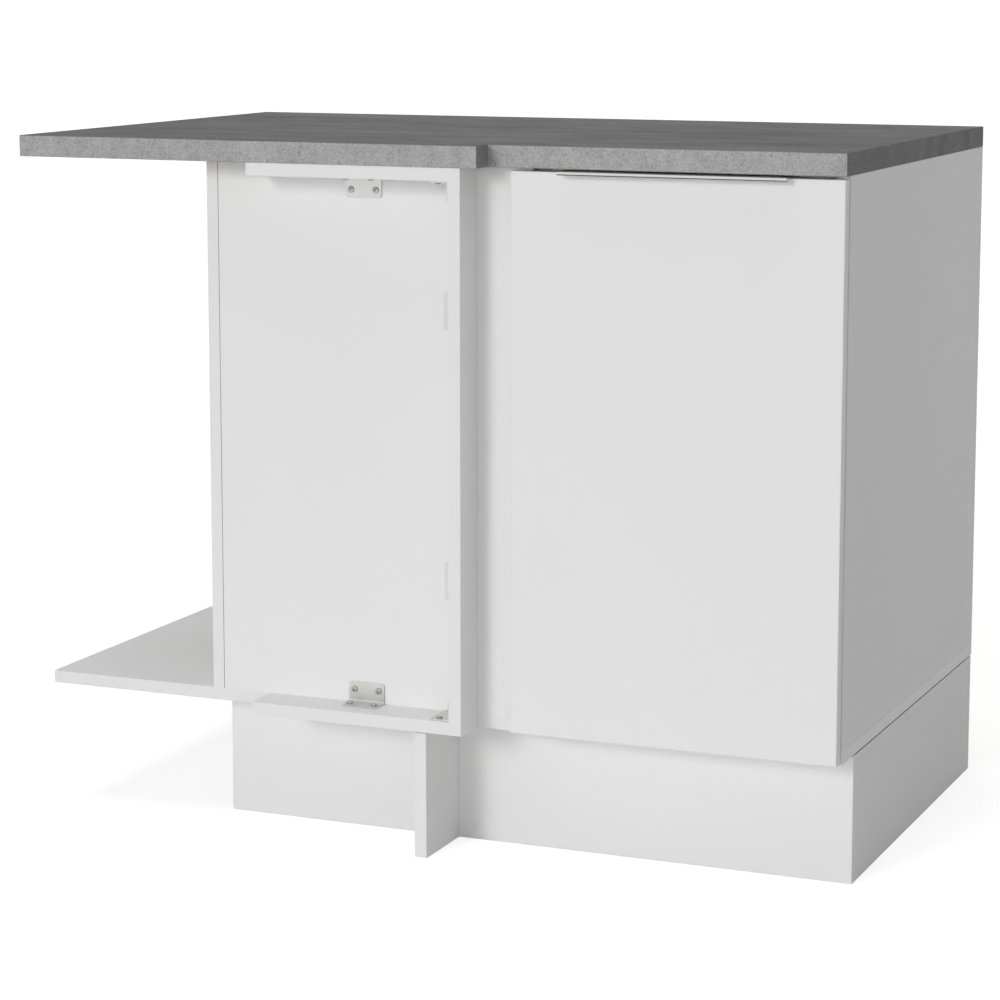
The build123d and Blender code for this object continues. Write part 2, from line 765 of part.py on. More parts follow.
# Worktop, an L-shaped board
with BuildPart() as worktop:
    with BuildSketch(Plane.XY.offset(worktop_underside)):
        with BuildLine():
            Polyline(
                (left_x, corner_front_y),
                (step_x, corner_front_y),
                (step_x, worktop_front_y),
                (right_x, worktop_front_y),
                (right_x, rear_y),
                (left_x, rear_y),
                close=True,
            )
        make_face()
    extrude(amount=worktop_thickness)
    chamfer(worktop.edges().filter_by(Axis.Z, reverse=True), length=worktop_edge_ease)
    drill("worktop")
worktop.part.label = "worktop"
export_step(worktop.part, "parts/worktop.step")

# Boards grooved for the back panel: each has its low and high corners, then its groove's
groove_front_y = back_front_y - groove_play
groove_back_y = back_front_y + back_thickness + groove_play
grooved_boards = {
    "bottom_panel": (
        (bottom_left_x, carcass_front_y, carcass_underside),
        (right_x, rear_y, bottom_top),
        (partition_inner_x - groove_depth, groove_front_y, bottom_top - groove_depth),
        (side_inner_x + groove_depth, groove_back_y, bottom_top),
    ),
    "right_side_panel": (
        (side_inner_x, carcass_front_y, bottom_top),
        (right_x, rear_y, worktop_underside),
        (side_inner_x, groove_front_y, bottom_top),
        (side_inner_x + groove_depth, groove_back_y, worktop_underside),
    ),
    "partition_panel": (
        (partition_left_x, carcass_front_y, bottom_top),
        (partition_inner_x, rear_y, worktop_underside),
        (partition_inner_x - groove_depth, groove_front_y, bottom_top),
        (partition_inner_x, groove_back_y, worktop_underside),
    ),
}
for board_name, (low, high, groove_low, groove_high) in grooved_boards.items():
    with BuildPart() as grooved_board:
        fill(low, high)
        chamfer(grooved_board.edges(), length=edge_ease)
        drill(board_name)
        fill(groove_low, groove_high, mode=Mode.SUBTRACT)
    grooved_board.part.label = board_name
    export_step(grooved_board.part, f"parts/{board_name}.step")

back_insert = groove_depth - groove_end_play
with BuildPart() as back_panel:
    fill(
        (partition_inner_x - back_insert, back_front_y, bottom_top - back_insert),
        (side_inner_x + back_insert, back_front_y + back_thickness, worktop_underside),
    )
back_panel.part.label = "back_panel"
export_step(back_panel.part, "parts/back_panel.step")

# Plain boards, by their low and high corners
plain_boards = {
    "blind_panel": (
        (partition_inner_x, carcass_front_y, bottom_top),
        (blind_right_x, blind_back_y, worktop_underside),
    ),
    "front_top_rail": (
        (partition_inner_x, front_rail_y, rail_bottom),
        (side_inner_x, front_rail_y + rail_depth, worktop_underside),
    ),
    "rear_top_rail": (
        (partition_inner_x, rear_rail_y, rail_bottom),
        (side_inner_x, back_front_y, worktop_underside),
    ),
    "shelf": (
        (partition_inner_x + shelf_side_play, shelf_front_y, shelf_underside),
        (side_inner_x - shelf_side_play, shelf_rear_y, shelf_underside + board),
    ),
    "filler_panel": (
        (filler_left_x, filler_front_y, carcass_underside),
        (filler_right_x, carcass_front_y, worktop_underside),
    ),
    "filler_top_strip": (
        (strip_left_x, filler_front_y, strip_underside),
        (filler_left_x, carcass_front_y, worktop_underside),
    ),
    "filler_bottom_strip": (
        (strip_left_x, filler_front_y, carcass_underside),
        (filler_left_x, carcass_front_y, strip_top),
    ),
    "plinth_front": (
        (plinth_left_x, plinth_front_y, 0),
        (right_x, plinth_back_y, plinth_height),
    ),
    "plinth_side": (
        (side_inner_x, plinth_back_y, 0),
        (right_x, rear_y - plinth_rear_gap, plinth_height),
    ),
    "plinth_return": (
        (return_left_x, plinth_front_y - return_length, 0),
        (return_right_x, plinth_front_y, plinth_height),
    ),
    "door": (
        (door_left_x, door_front_y, door_bottom),
        (door_right_x, door_back_y, door_top),
    ),
}
for board_name, (low, high) in plain_boards.items():
    with BuildPart() as plain_board:
        fill(low, high)
        chamfer(plain_board.edges(), length=edge_ease)
        drill(board_name)
    plain_board.part.label = board_name
    export_step(plain_board.part, f"parts/{board_name}.step")


def make_screw(head_height, shank_radius, length):
    """A round-headed screw that stands on Z, with its head's seat at the origin."""
    with BuildPart() as screw:
        with BuildSketch(Plane.XZ):
            with BuildLine():
                Polyline(
                    (0, head_height),
                    (screw_head_radius * screw_head_crown, head_height),
                    (screw_head_radius, 0),
                    (shank_radius, 0),
                    (shank_radius, screw_tip - length),
                    (0, -length),
                    close=True,
                )
            make_face()
        revolve(axis=Axis.Z)
    return screw.part


# Screws, one group for each job
for group_name, (head_height, shank_radius, length) in screw_sizes.items():
    one_screw = make_screw(head_height, shank_radius, length)
    with BuildPart() as screw_group:
        with Locations(*seats[group_name]):
            add(one_screw)
    screw_group.part.label = group_name
    export_step(screw_group.part, f"parts/{group_name}.step")
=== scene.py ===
import json
import math

import bmesh
import bpy
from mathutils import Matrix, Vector


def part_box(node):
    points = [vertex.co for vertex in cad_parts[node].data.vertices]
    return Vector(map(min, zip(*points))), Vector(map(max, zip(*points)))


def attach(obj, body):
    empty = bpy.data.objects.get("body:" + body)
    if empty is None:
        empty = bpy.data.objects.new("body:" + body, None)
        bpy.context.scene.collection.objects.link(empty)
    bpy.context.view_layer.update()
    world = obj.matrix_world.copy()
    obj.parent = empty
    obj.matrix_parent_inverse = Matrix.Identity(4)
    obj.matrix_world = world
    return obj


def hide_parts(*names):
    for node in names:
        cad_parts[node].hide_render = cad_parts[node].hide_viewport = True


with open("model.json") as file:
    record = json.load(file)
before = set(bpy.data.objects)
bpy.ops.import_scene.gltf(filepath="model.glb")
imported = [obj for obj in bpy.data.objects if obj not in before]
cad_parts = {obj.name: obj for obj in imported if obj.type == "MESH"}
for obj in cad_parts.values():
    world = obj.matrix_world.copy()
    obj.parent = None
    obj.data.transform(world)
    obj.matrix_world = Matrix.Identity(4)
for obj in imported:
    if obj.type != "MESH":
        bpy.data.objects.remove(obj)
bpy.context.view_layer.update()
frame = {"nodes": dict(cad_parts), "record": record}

# Everything is in metres. X runs left to right, Y from the front to the wall, Z up from the floor.
cadNodes = frame["nodes"]
slotOf = {part["node"]: part["material_slot"] for part in frame["record"]["subparts"]}
bodyOf = {node: body for body, members in frame["record"]["behaviour"]["bodies"].items() for node in members}
mm = 0.001
ways = {
    "left": (-1, 0, 0), "right": (1, 0, 0),
    "front": (0, -1, 0), "rear": (0, 1, 0),
    "under": (0, 0, -1), "upper": (0, 0, 1),
}
print("Frame loaded with", len(cadNodes), "CAD nodes")


def linearColour(hexText):
    channels = [int(hexText[start:start + 2], 16) / 255 for start in (1, 3, 5)]
    return [c / 12.92 if c <= 0.04045 else ((c + 0.055) / 1.055) ** 2.4 for c in channels] + [1.0]


def addNode(tree, kind, feeds=None, **settings):
    # feeds gives each input, by name or number, a value, a socket, or a node whose first output it takes,
    # and an input that joins several of these a list
    node = tree.nodes.new(kind)
    for setting, value in settings.items():
        setattr(node, setting, value)
    openInputs = [socket for socket in node.inputs if socket.enabled]
    for key, value in (feeds or {}).items():
        socket = openInputs[key] if isinstance(key, int) else next(s for s in openInputs if s.name == key)
        for given in value if socket.is_multi_input else [value]:
            if isinstance(given, bpy.types.Node):
                given = next(output for output in given.outputs if output.enabled)
            if isinstance(given, bpy.types.NodeSocket):
                tree.links.new(given, socket)
            else:
                socket.default_value = given
    return node


def scaleFor(millimetres):
    # the scale that makes a texture's features this large
    return 1 / (millimetres * mm)


def startMaterial(name):
    material = bpy.data.materials.new(name)
    material.use_nodes = True
    material.node_tree.nodes.clear()
    return material, material.node_tree, addNode(material.node_tree, "ShaderNodeTexCoord")


def finishMaterial(tree, feeds):
    shader = addNode(tree, "ShaderNodeBsdfPrincipled", feeds)
    addNode(tree, "ShaderNodeOutputMaterial", {"Surface": shader})


def facing(tree, place, direction, limit=0.75):
    # 1 where the surface looks that way, 0 elsewhere
    along = addNode(tree, "ShaderNodeVectorMath", {0: place.outputs["Normal"], 1: direction},
                    operation="DOT_PRODUCT")
    return addNode(tree, "ShaderNodeMath", {0: along, 1: limit}, operation="GREATER_THAN")


def facingBetween(tree, place, oneWay, otherWay):
    # 1 on the eased edge between two faces
    middle = (Vector(ways[oneWay]) + Vector(ways[otherWay])).normalized()
    return facing(tree, place, middle, limit=0.9)


def anyOf(tree, masks):
    total = masks[0]
    for mask in masks[1:]:
        total = addNode(tree, "ShaderNodeMath", {0: total, 1: mask}, operation="MAXIMUM")
    return total


def wobble(tree, spot, millimetres, amount, detail=2.0, twist=0.0, stretch=None):
    # noise of features this large, mostly between minus and plus the amount
    if stretch:
        spot = addNode(tree, "ShaderNodeMapping", {"Vector": spot, "Scale": stretch})
    noise = addNode(tree, "ShaderNodeTexNoise", {
        "Vector": spot, "Scale": scaleFor(millimetres), "Detail": detail, "Distortion": twist})
    return addNode(tree, "ShaderNodeMapRange", {
        "Value": noise, "From Min": 0.25, "From Max": 0.75, "To Min": -amount, "To Max": amount},
        clamp=False)


def toned(tree, colour, spot, layers, *others):
    # the colour, lighter and darker by each layer of noise and by any other pattern
    total = 1.0
    for term in [wobble(tree, spot, **layer) for layer in layers] + list(others):
        total = addNode(tree, "ShaderNodeMath", {0: term, 1: total}, operation="ADD")
    plain = linearColour(colour)[:3] if isinstance(colour, str) else colour
    return addNode(tree, "ShaderNodeVectorMath", {0: plain, "Scale": total}, operation="SCALE")


def coated(tree, ground, *coats):
    # each coat is a mask and a colour, and covers what is under it where its mask is 1
    ground = linearColour(ground) if isinstance(ground, str) else ground
    for mask, coat in coats:
        coat = linearColour(coat) if isinstance(coat, str) else coat
        ground = addNode(tree, "ShaderNodeMix", {"Factor": mask, "A": ground, "B": coat}, data_type="RGBA")
    return ground


def grained(tree, spot, look):
    # roughness and bump from one fine noise
    grain = addNode(tree, "ShaderNodeTexNoise", {
        "Vector": spot, "Scale": scaleFor(look["grainMm"]), "Detail": look["grainDetail"]})
    roughness = addNode(tree, "ShaderNodeMapRange", {
        "Value": grain, "To Min": look["roughness"] - look["roughnessSpread"],
        "To Max": look["roughness"] + look["roughnessSpread"]})
    bump = addNode(tree, "ShaderNodeBump", {
        "Height": grain, "Strength": look["bump"], "Distance": look["grainDepthMm"] * mm})
    return {"Roughness": roughness, "Normal": bump}


# White boards: chipboard faced with melamine paper, pressed against a satin plate, so evenly white with a
# soft sheen. The edges that show carry a glued plastic band, a little smoother, and the others are sawn and
# left bare.
boardLook = {
    "face": "#EDEDED",
    "band": "#EBEBEB",
    "bandMm": 0.8,
    "seam": "#C6C5C1",
    "seamMm": 0.14,
    "layers": [{"millimetres": 160, "amount": 0.006}, {"millimetres": 0.7, "amount": 0.008}],
    "pearlMm": 0.7,
    "pearlDetail": 3.0,
    "pearlDepthMm": 0.02,
    "bump": 0.25,
    "faceRoughness": 0.44,
    "bandRoughness": 0.36,
    "gloss": 0.35,
    # painted shade for the gap where two boards meet
    "joint": "#1E1E1D",
}
chipboardLook = {
    "pale": "#D6BE96",
    "dark": "#8F6F47",
    "chipMm": 1.3,
    "driftMm": 5.2,
    "driftDetail": 4.0,
    "lying": (0.5, 0.5, 1.0),
    "roughness": 0.9,
}
# where two boards meet at a front, their eased edges get painted shade, for the dark gap between them
jointLines = {
    "partition_panel": ("front", "right"),
    "blind_panel": ("front", "left"),
}
boardEdges = {
    "bottom_panel": {"banded": ("front", "left", "right"), "bare": ("rear",)},
    "right_side_panel": {"banded": ("front",), "bare": ("rear", "upper", "under")},
    "partition_panel": {"banded": ("front",), "bare": ("rear", "upper", "under")},
    "blind_panel": {"banded": ("right",), "bare": ("left", "upper", "under")},
    "front_top_rail": {"banded": ("front",), "bare": ("rear", "left", "right")},
    "rear_top_rail": {"banded": ("front",), "bare": ("rear", "left", "right")},
    "shelf": {"banded": ("front",), "bare": ("rear", "left", "right")},
    "filler_panel": {"banded": ("front",), "bare": ("rear", "upper", "under")},
    "filler_top_strip": {"banded": ("front", "left"), "bare": ("rear", "right")},
    "filler_bottom_strip": {"banded": ("front", "left"), "bare": ("rear", "right")},
    "plinth_front": {"banded": ("left", "right", "upper"), "bare": ("under",)},
    "plinth_side": {"banded": ("rear", "upper"), "bare": ("front", "under")},
    "plinth_return": {"banded": ("front", "upper"), "bare": ("rear", "under")},
    "door": {"banded": ("left", "right", "upper", "under"), "bare": ()},
}


def bareChipboard(tree, place):
    # pressed wood chips, lying flat: pale and dark cells in drifts
    lying = addNode(tree, "ShaderNodeMapping", {
        "Vector": place.outputs["Object"], "Scale": chipboardLook["lying"]})
    chips = addNode(tree, "ShaderNodeTexVoronoi", {
        "Vector": lying, "Scale": scaleFor(chipboardLook["chipMm"])})
    drift = addNode(tree, "ShaderNodeTexNoise", {
        "Vector": lying, "Scale": scaleFor(chipboardLook["driftMm"]),
        "Detail": chipboardLook["driftDetail"]})
    cell = addNode(tree, "ShaderNodeSeparateColor", {"Color": chips.outputs["Color"]})
    blend = addNode(tree, "ShaderNodeMath", {0: cell, 1: drift}, operation="MULTIPLY")
    return coated(tree, chipboardLook["pale"], (blend, chipboardLook["dark"])), cell


def bandSeam(tree, place, node, banded, band):
    # the glue line on a face, one band's thickness in from a banded edge
    low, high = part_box(node)
    nearest = 1.0  # further in than any line
    for way in banded:
        direction = Vector(ways[way])
        edgeAt = max(direction.dot(low), direction.dot(high))
        along = addNode(tree, "ShaderNodeVectorMath", {0: place.outputs["Object"], 1: direction},
                        operation="DOT_PRODUCT")
        inward = addNode(tree, "ShaderNodeMath", {0: edgeAt, 1: along}, operation="SUBTRACT")
        nearest = addNode(tree, "ShaderNodeMath", {0: inward, 1: nearest}, operation="MINIMUM")
    glueLine = addNode(tree, "ShaderNodeMath", {
        0: nearest, 1: boardLook["bandMm"] * mm, 2: boardLook["seamMm"] * mm / 2}, operation="COMPARE")
    openFace = addNode(tree, "ShaderNodeMath", {0: 1.0, 1: band}, operation="SUBTRACT")
    return addNode(tree, "ShaderNodeMath", {0: glueLine, 1: openFace}, operation="MULTIPLY")


def makeBoardMaterial(node, edges):
    material, tree, place = startMaterial("Melamine-faced chipboard, " + node.replace("_", " "))
    spot = place.outputs["Object"]
    band = anyOf(tree, [facing(tree, place, ways[way]) for way in edges["banded"]])
    seam = bandSeam(tree, place, node, edges["banded"], band)
    white = coated(tree, boardLook["face"], (band, boardLook["band"]), (seam, boardLook["seam"]))
    # painted shade on the eased edge where this board meets the next
    if node in jointLines:
        white = coated(tree, white, (facingBetween(tree, place, *jointLines[node]), boardLook["joint"]))
    colour = toned(tree, white, spot, boardLook["layers"])
    roughness = addNode(tree, "ShaderNodeMix", {
        "Factor": band, "A": boardLook["faceRoughness"], "B": boardLook["bandRoughness"]})
    height = addNode(tree, "ShaderNodeTexNoise", {
        "Vector": spot, "Scale": scaleFor(boardLook["pearlMm"]), "Detail": boardLook["pearlDetail"]})
    if edges["bare"]:
        bare = anyOf(tree, [facing(tree, place, ways[way]) for way in edges["bare"]])
        chips, cell = bareChipboard(tree, place)
        colour = coated(tree, colour, (bare, chips))
        roughness = addNode(tree, "ShaderNodeMix", {
            "Factor": bare, "A": roughness, "B": chipboardLook["roughness"]})
        height = addNode(tree, "ShaderNodeMix", {"Factor": bare, "A": height, "B": cell})
    bump = addNode(tree, "ShaderNodeBump", {
        "Height": height, "Strength": boardLook["bump"], "Distance": boardLook["pearlDepthMm"] * mm})
    finishMaterial(tree, {"Base Color": colour, "Roughness": roughness, "Normal": bump,
                          "Specular IOR Level": boardLook["gloss"]})
    return material


# Back panel: hardboard, wet-pressed fibre with one face lacquered white, so smooth in front, and a brown
# rear marked by the press's wire mesh
backLook = {
    "lacquer": "#E9E9E7",
    "fibre": "#8C6A48",
    "layers": [{"millimetres": 3.0, "amount": 0.12, "detail": 5.0}, {"millimetres": 90, "amount": 0.08}],
    "meshMm": 1.1,
    "meshUnevenness": 0.2,
    "meshDepthMm": 0.1,
    "bump": 0.5,
    "lacquerRoughness": 0.4,
    "fibreRoughness": 0.85,
}


def makeHardboard():
    material, tree, place = startMaterial("Hardboard, lacquered one side")
    spot = place.outputs["Object"]
    lacquered = facing(tree, place, ways["front"])
    fibre = toned(tree, backLook["fibre"], spot, backLook["layers"])
    colour = coated(tree, fibre, (lacquered, backLook["lacquer"]))
    roughness = addNode(tree, "ShaderNodeMix", {
        "Factor": lacquered, "A": backLook["fibreRoughness"], "B": backLook["lacquerRoughness"]})
    mesh = addNode(tree, "ShaderNodeTexVoronoi", {
        "Vector": spot, "Scale": scaleFor(backLook["meshMm"]), "Randomness": backLook["meshUnevenness"]})
    height = addNode(tree, "ShaderNodeMix", {"Factor": lacquered, "A": mesh, "B": 0.0})
    bump = addNode(tree, "ShaderNodeBump", {
        "Height": height, "Strength": backLook["bump"], "Distance": backLook["meshDepthMm"] * mm})
    finishMaterial(tree, {"Base Color": colour, "Roughness": roughness, "Normal": bump})
    return material


# Worktop: laminate printed like cast concrete and pressed mat, so it has no highlights. The front edge is a
# pale speckled cut, the top and the ends are darker and trowelled, the underside is backing paper and the
# edge at the wall is bare chipboard.
worktopLook = {
    "front": {
        "colour": "#ACACAC",
        "sand": 0.14,
        "layers": [
            {"millimetres": 2.2, "amount": 0.14, "detail": 3.0},
            {"millimetres": 12, "amount": 0.08},
            {"millimetres": 48, "amount": 0.06},
        ],
    },
    "top": {
        "colour": "#878787",
        "sand": 0.09,
        "layers": [
            {"millimetres": 58, "amount": 0.18, "detail": 4.0, "twist": 0.3, "stretch": (0.5, 1.0, 1.0)},
            {"millimetres": 174, "amount": 0.12, "stretch": (0.5, 1.0, 1.0)},
            {"millimetres": 12, "amount": 0.07, "detail": 3.0},
            {"millimetres": 2.2, "amount": 0.11, "detail": 3.0},
        ],
    },
    "ends": {
        "colour": "#979797",
        "sand": 0.10,
        "layers": [
            {"millimetres": 30, "amount": 0.09, "stretch": (1.0, 1.0, 0.35)},
            {"millimetres": 48, "amount": 0.08},
            {"millimetres": 2.2, "amount": 0.14, "detail": 3.0},
        ],
    },
    "under": "#9A958B",
    "sandMm": 1.7,
    "speck": "#676767",
    "speckMm": 3.0,
    "speckUpright": (1.0, 1.0, 0.6),
    "speckFrom": 0.65,
    "speckFull": 0.73,
    "speckStrength": 0.45,
    "grainMm": 2.2,
    "grainDetail": 4.0,
    "grainDepthMm": 0.06,
    "bump": 0.3,
    "roughness": 0.85,
    "roughnessSpread": 0.08,
    "gloss": 0.02,
}


def makeLaminate():
    material, tree, place = startMaterial("Concrete-look laminate")
    spot = place.outputs["Object"]
    # real sand is finer than this, but would not show
    sand = addNode(tree, "ShaderNodeTexVoronoi", {"Vector": spot, "Scale": scaleFor(worktopLook["sandMm"])})
    sandTone = addNode(tree, "ShaderNodeSeparateColor", {"Color": sand.outputs["Color"]})
    printed = {}
    for face in ("front", "top", "ends"):
        look = worktopLook[face]
        sandShift = addNode(tree, "ShaderNodeMapRange", {
            "Value": sandTone, "To Min": -look["sand"], "To Max": look["sand"]})
        printed[face] = toned(tree, look["colour"], spot, look["layers"], sandShift)

    # small upright specks in the front, left where grit was dragged
    upright = addNode(tree, "ShaderNodeMapping", {"Vector": spot, "Scale": worktopLook["speckUpright"]})
    grit = addNode(tree, "ShaderNodeTexNoise", {
        "Vector": upright, "Scale": scaleFor(worktopLook["speckMm"])})
    speck = addNode(tree, "ShaderNodeMapRange", {
        "Value": grit, "From Min": worktopLook["speckFrom"], "From Max": worktopLook["speckFull"],
        "To Min": 0.0, "To Max": worktopLook["speckStrength"]})

    chips = bareChipboard(tree, place)[0]
    ends = anyOf(tree, [facing(tree, place, ways["left"]), facing(tree, place, ways["right"])])
    colour = coated(
        tree, printed["front"],
        (speck, worktopLook["speck"]),
        (ends, printed["ends"]),
        (facing(tree, place, ways["upper"], limit=0.6), printed["top"]),
        (facing(tree, place, ways["under"]), worktopLook["under"]),
        (facing(tree, place, ways["rear"]), chips),
    )
    finishMaterial(tree, {"Base Color": colour, **grained(tree, spot, worktopLook),
                          "Specular IOR Level": worktopLook["gloss"]})
    return material


# Handle: extruded aluminium, etched and anodised, so faint die lines run along its length
# the lip's rolled edges and sawn ends take a painted dark grey, a painted shade for the gap and shadow the
# edges would mirror
aluminiumLook = {"colour": "#CFCFCC", "grainMm": 0.6, "stretch": (0.02, 1.0, 1.0), "patchMm": 60,
                 "toneShift": 0.02, "roughness": 0.2, "grainDepthMm": 0.01, "lipShade": "#62625F",
                 "lipMm": 4.2, "lipThickMm": 2.0, "upperEdgeMm": 0.5, "lowerEdgeMm": 1.2}
# Brackets: pressed steel strip, barrel-plated with zinc and passivated, satin with a faint cloudiness
bracketLook = {"colour": "#D3D3D0", "grainMm": 1.2, "patchMm": 9, "toneShift": 0.02,
               "roughness": 0.38, "grainDepthMm": 0.004}
# Hinges: pressed steel, bright nickel plate, so sharper in its reflections and a little warmer than zinc
nickelLook = {"colour": "#C6C4BE", "grainMm": 0.8, "patchMm": 12, "toneShift": 0.02,
              "roughness": 0.24, "grainDepthMm": 0.004}
# Screws and shelf pins: cold-headed steel, bright zinc plate
# screw heads carry painted shade: a painted dark reflection at the rim, and darker down in the recess
screwLook = {"colour": "#C4C4C0", "grainMm": 0.5, "patchMm": 3, "toneShift": 0.03,
             "roughness": 0.3, "grainDepthMm": 0.005, "dulled": "#5C5C5A"}
# Cam locks: die-cast zinc, tumbled, a dull grey with a cast skin
castingLook = {"colour": "#A9AAAA", "grainMm": 0.7, "patchMm": 4, "toneShift": 0.05,
               "roughness": 0.5, "grainDepthMm": 0.03}
# Common to all metals
metalGrain = {"grainDetail": 3.0, "roughnessSpread": 0.06, "bump": 0.2}


def paintedLipShade(tree, place, look):
    # there the colour takes painted shade, for the dark gap and shadow that the rolled edges mirror; the
    # ends get the same dark grey
    # 1 on the upper and lower edges of the handle's lip, which roll away, and on its sawn ends
    low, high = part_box("door_handle")
    spread = addNode(tree, "ShaderNodeSeparateXYZ", {"Vector": place.outputs["Object"]})
    above = addNode(tree, "ShaderNodeMath", {
        0: spread.outputs["Z"], 1: high[2] - look["upperEdgeMm"] * mm}, operation="GREATER_THAN")
    below = addNode(tree, "ShaderNodeMath", {
        0: spread.outputs["Z"], 1: high[2] - (look["lipMm"] - look["lowerEdgeMm"]) * mm},
        operation="LESS_THAN")
    onLip = addNode(tree, "ShaderNodeMath", {
        0: spread.outputs["Y"], 1: low[1] + look["lipThickMm"] * mm}, operation="LESS_THAN")
    sawn = anyOf(tree, [facing(tree, place, ways["left"]), facing(tree, place, ways["right"])])
    return addNode(tree, "ShaderNodeMath", {0: anyOf(tree, [above, below, sawn]), 1: onLip},
                   operation="MULTIPLY")


def makeMetal(name, look):
    material, tree, place = startMaterial(name)
    spot = place.outputs["Object"]
    colour = toned(tree, look["colour"], spot, [
        {"millimetres": look["grainMm"], "amount": look["toneShift"], "detail": metalGrain["grainDetail"],
         "stretch": look.get("stretch")},
        {"millimetres": look["patchMm"], "amount": look["toneShift"]},
    ])
    # painted shade on the screw heads, stored with them: a dark reflection at the rim, shade in the recess
    if "dulled" in look:
        shadeAttribute = addNode(tree, "ShaderNodeAttribute", attribute_name="dulled")
        colour = coated(tree, colour, (shadeAttribute.outputs["Fac"], look["dulled"]))
    # painted shade on the handle lip's edges and ends
    if "lipShade" in look:
        colour = coated(tree, colour, (paintedLipShade(tree, place, look), look["lipShade"]))
    if "stretch" in look:
        spot = addNode(tree, "ShaderNodeMapping", {"Vector": spot, "Scale": look["stretch"]})
    finishMaterial(tree, {"Base Color": colour, "Metallic": 1.0,
                          **grained(tree, spot, {**look, **metalGrain})})
    return material


# Feet, leg sockets and clips: black polypropylene, moulded in a spark-textured tool, so dull and finely
# pitted
plasticLook = {
    "colour": "#18181A",
    "layers": [{"millimetres": 30, "amount": 0.12}, {"millimetres": 0.6, "amount": 0.15}],
    "grainMm": 0.6,
    "grainDetail": 2.0,
    "grainDepthMm": 0.04,
    "bump": 0.4,
    "roughness": 0.5,
    "roughnessSpread": 0.1,
}


def makeBlackPlastic():
    material, tree, place = startMaterial("Moulded black polypropylene")
    spot = place.outputs["Object"]
    colour = toned(tree, plasticLook["colour"], spot, plasticLook["layers"])
    finishMaterial(tree, {"Base Color": colour, **grained(tree, spot, plasticLook)})
    return material


# Bumpers: cast clear polyurethane, soft and a little cloudy
bumperLook = {"colour": "#E6E6E2", "layers": [{"millimetres": 1.5, "amount": 0.03}],
              "finish": {"Roughness": 0.18, "Transmission Weight": 0.6, "IOR": 1.48}}
# Dowels: turned beech, short brown rays along the grain
dowelLook = {"colour": "#C99F72", "finish": {"Roughness": 0.7}, "layers": [
    {"millimetres": 1.2, "amount": 0.10, "detail": 3.0}, {"millimetres": 6, "amount": 0.06}]}


def makePlain(name, look):
    material, tree, place = startMaterial(name)
    colour = toned(tree, look["colour"], place.outputs["Object"], look["layers"])
    finishMaterial(tree, {"Base Color": colour, **look["finish"]})
    return material


slotMaterials = {
    "white_hardboard": makeHardboard(),
    "worktop_laminate": makeLaminate(),
    "handle_aluminium": makeMetal("Satin anodised aluminium", aluminiumLook),
    "bracket_steel": makeMetal("Zinc-plated pressed steel", bracketLook),
    "hinge_steel": makeMetal("Nickel-plated pressed steel", nickelLook),
    "screw_steel": makeMetal("Zinc-plated screw steel", screwLook),
    "zinc_casting": makeMetal("Die-cast zinc", castingLook),
    "black_plastic": makeBlackPlastic(),
    "clear_bumper": makePlain("Clear polyurethane", bumperLook),
    "beech_dowel": makePlain("Turned beech", dowelLook),
}
for name, cadNode in cadNodes.items():
    finish = makeBoardMaterial(name, boardEdges[name]) if name in boardEdges else slotMaterials[slotOf[name]]
    cadNode.data.materials.clear()
    cadNode.data.materials.append(finish)
print("Materials made:", len(bpy.data.materials))


def withModifier(name, source, kind, **settings):
    # hands back the plain mesh that a modifier makes of a mesh
    carrier = bpy.data.objects.new(name, source)
    bpy.context.scene.collection.objects.link(carrier)
    modifier = carrier.modifiers.new(name, kind)
    for setting, value in settings.items():
        if setting == "inputs":
            for identifier, given in value.items():
                modifier[identifier] = given
        else:
            setattr(modifier, setting, value)
    graph = bpy.context.evaluated_depsgraph_get()
    made = bpy.data.meshes.new_from_object(carrier.evaluated_get(graph), depsgraph=graph)
    carrier.modifiers.remove(modifier)
    bpy.data.objects.remove(carrier)
    return made


def shadeByAngle(mesh, degrees=35):
    shell = bmesh.new()
    shell.from_mesh(mesh)
    for face in shell.faces:
        face.smooth = True
    for edge in shell.edges:
        edge.smooth = edge.calc_face_angle(0) < math.radians(degrees)
    shell.to_mesh(mesh)
    shell.free()
    # weighted by area, the flat faces stay flat beside their eased edges
    return withModifier(mesh.name, mesh, "WEIGHTED_NORMAL", keep_sharp=True)


def placePiece(pieceName, mesh, cadName, replacing=True):
    # a finished piece takes its body and its slot from the CAD node that it stands for, or stands beside
    piece = bpy.data.objects.new(pieceName, mesh)
    bpy.context.scene.collection.objects.link(piece)
    mesh.materials.clear()
    mesh.materials.append(slotMaterials[slotOf[cadName]])
    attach(piece, bodyOf[cadName])
    if replacing:
        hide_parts(cadName)


# Small fittings whose pressed or moulded edges are rounded over, in millimetres, from merged copies of the
# CAD shapes
easedEdges = {
    "bracket_head_strip": 0.3, "bracket_foot_strip": 0.3, "bracket_post_high": 0.3, "bracket_post_low": 0.3,
    "bracket_post_head": 0.3, "bracket_post_foot": 0.3, "bracket_plinth_return": 0.3,
    "bracket_plinth_corner": 0.3,
    "lower_hinge_arm": 0.35, "upper_hinge_arm": 0.35, "lower_hinge_plate": 0.4, "upper_hinge_plate": 0.4,
    "lower_hinge_cup": 0.25, "upper_hinge_cup": 0.25, "lower_hinge_pin": 0.3, "upper_hinge_pin": 0.3,
    "leg_sockets": 0.4, "plinth_clips": 0.5, "cam_locks": 0.25, "shelf_pins": 0.4, "door_bumpers": 1.3,
    "door_handle": 0.25,
}
easing = {"mergeMm": 0.001, "flatDegrees": 0.5, "cornerDegrees": 40, "steps": 2, "roundness": 0.5}


def mergedShell(mesh):
    shell = bmesh.new()
    shell.from_mesh(mesh)
    bmesh.ops.remove_doubles(shell, verts=shell.verts, dist=easing["mergeMm"] * mm)
    return shell


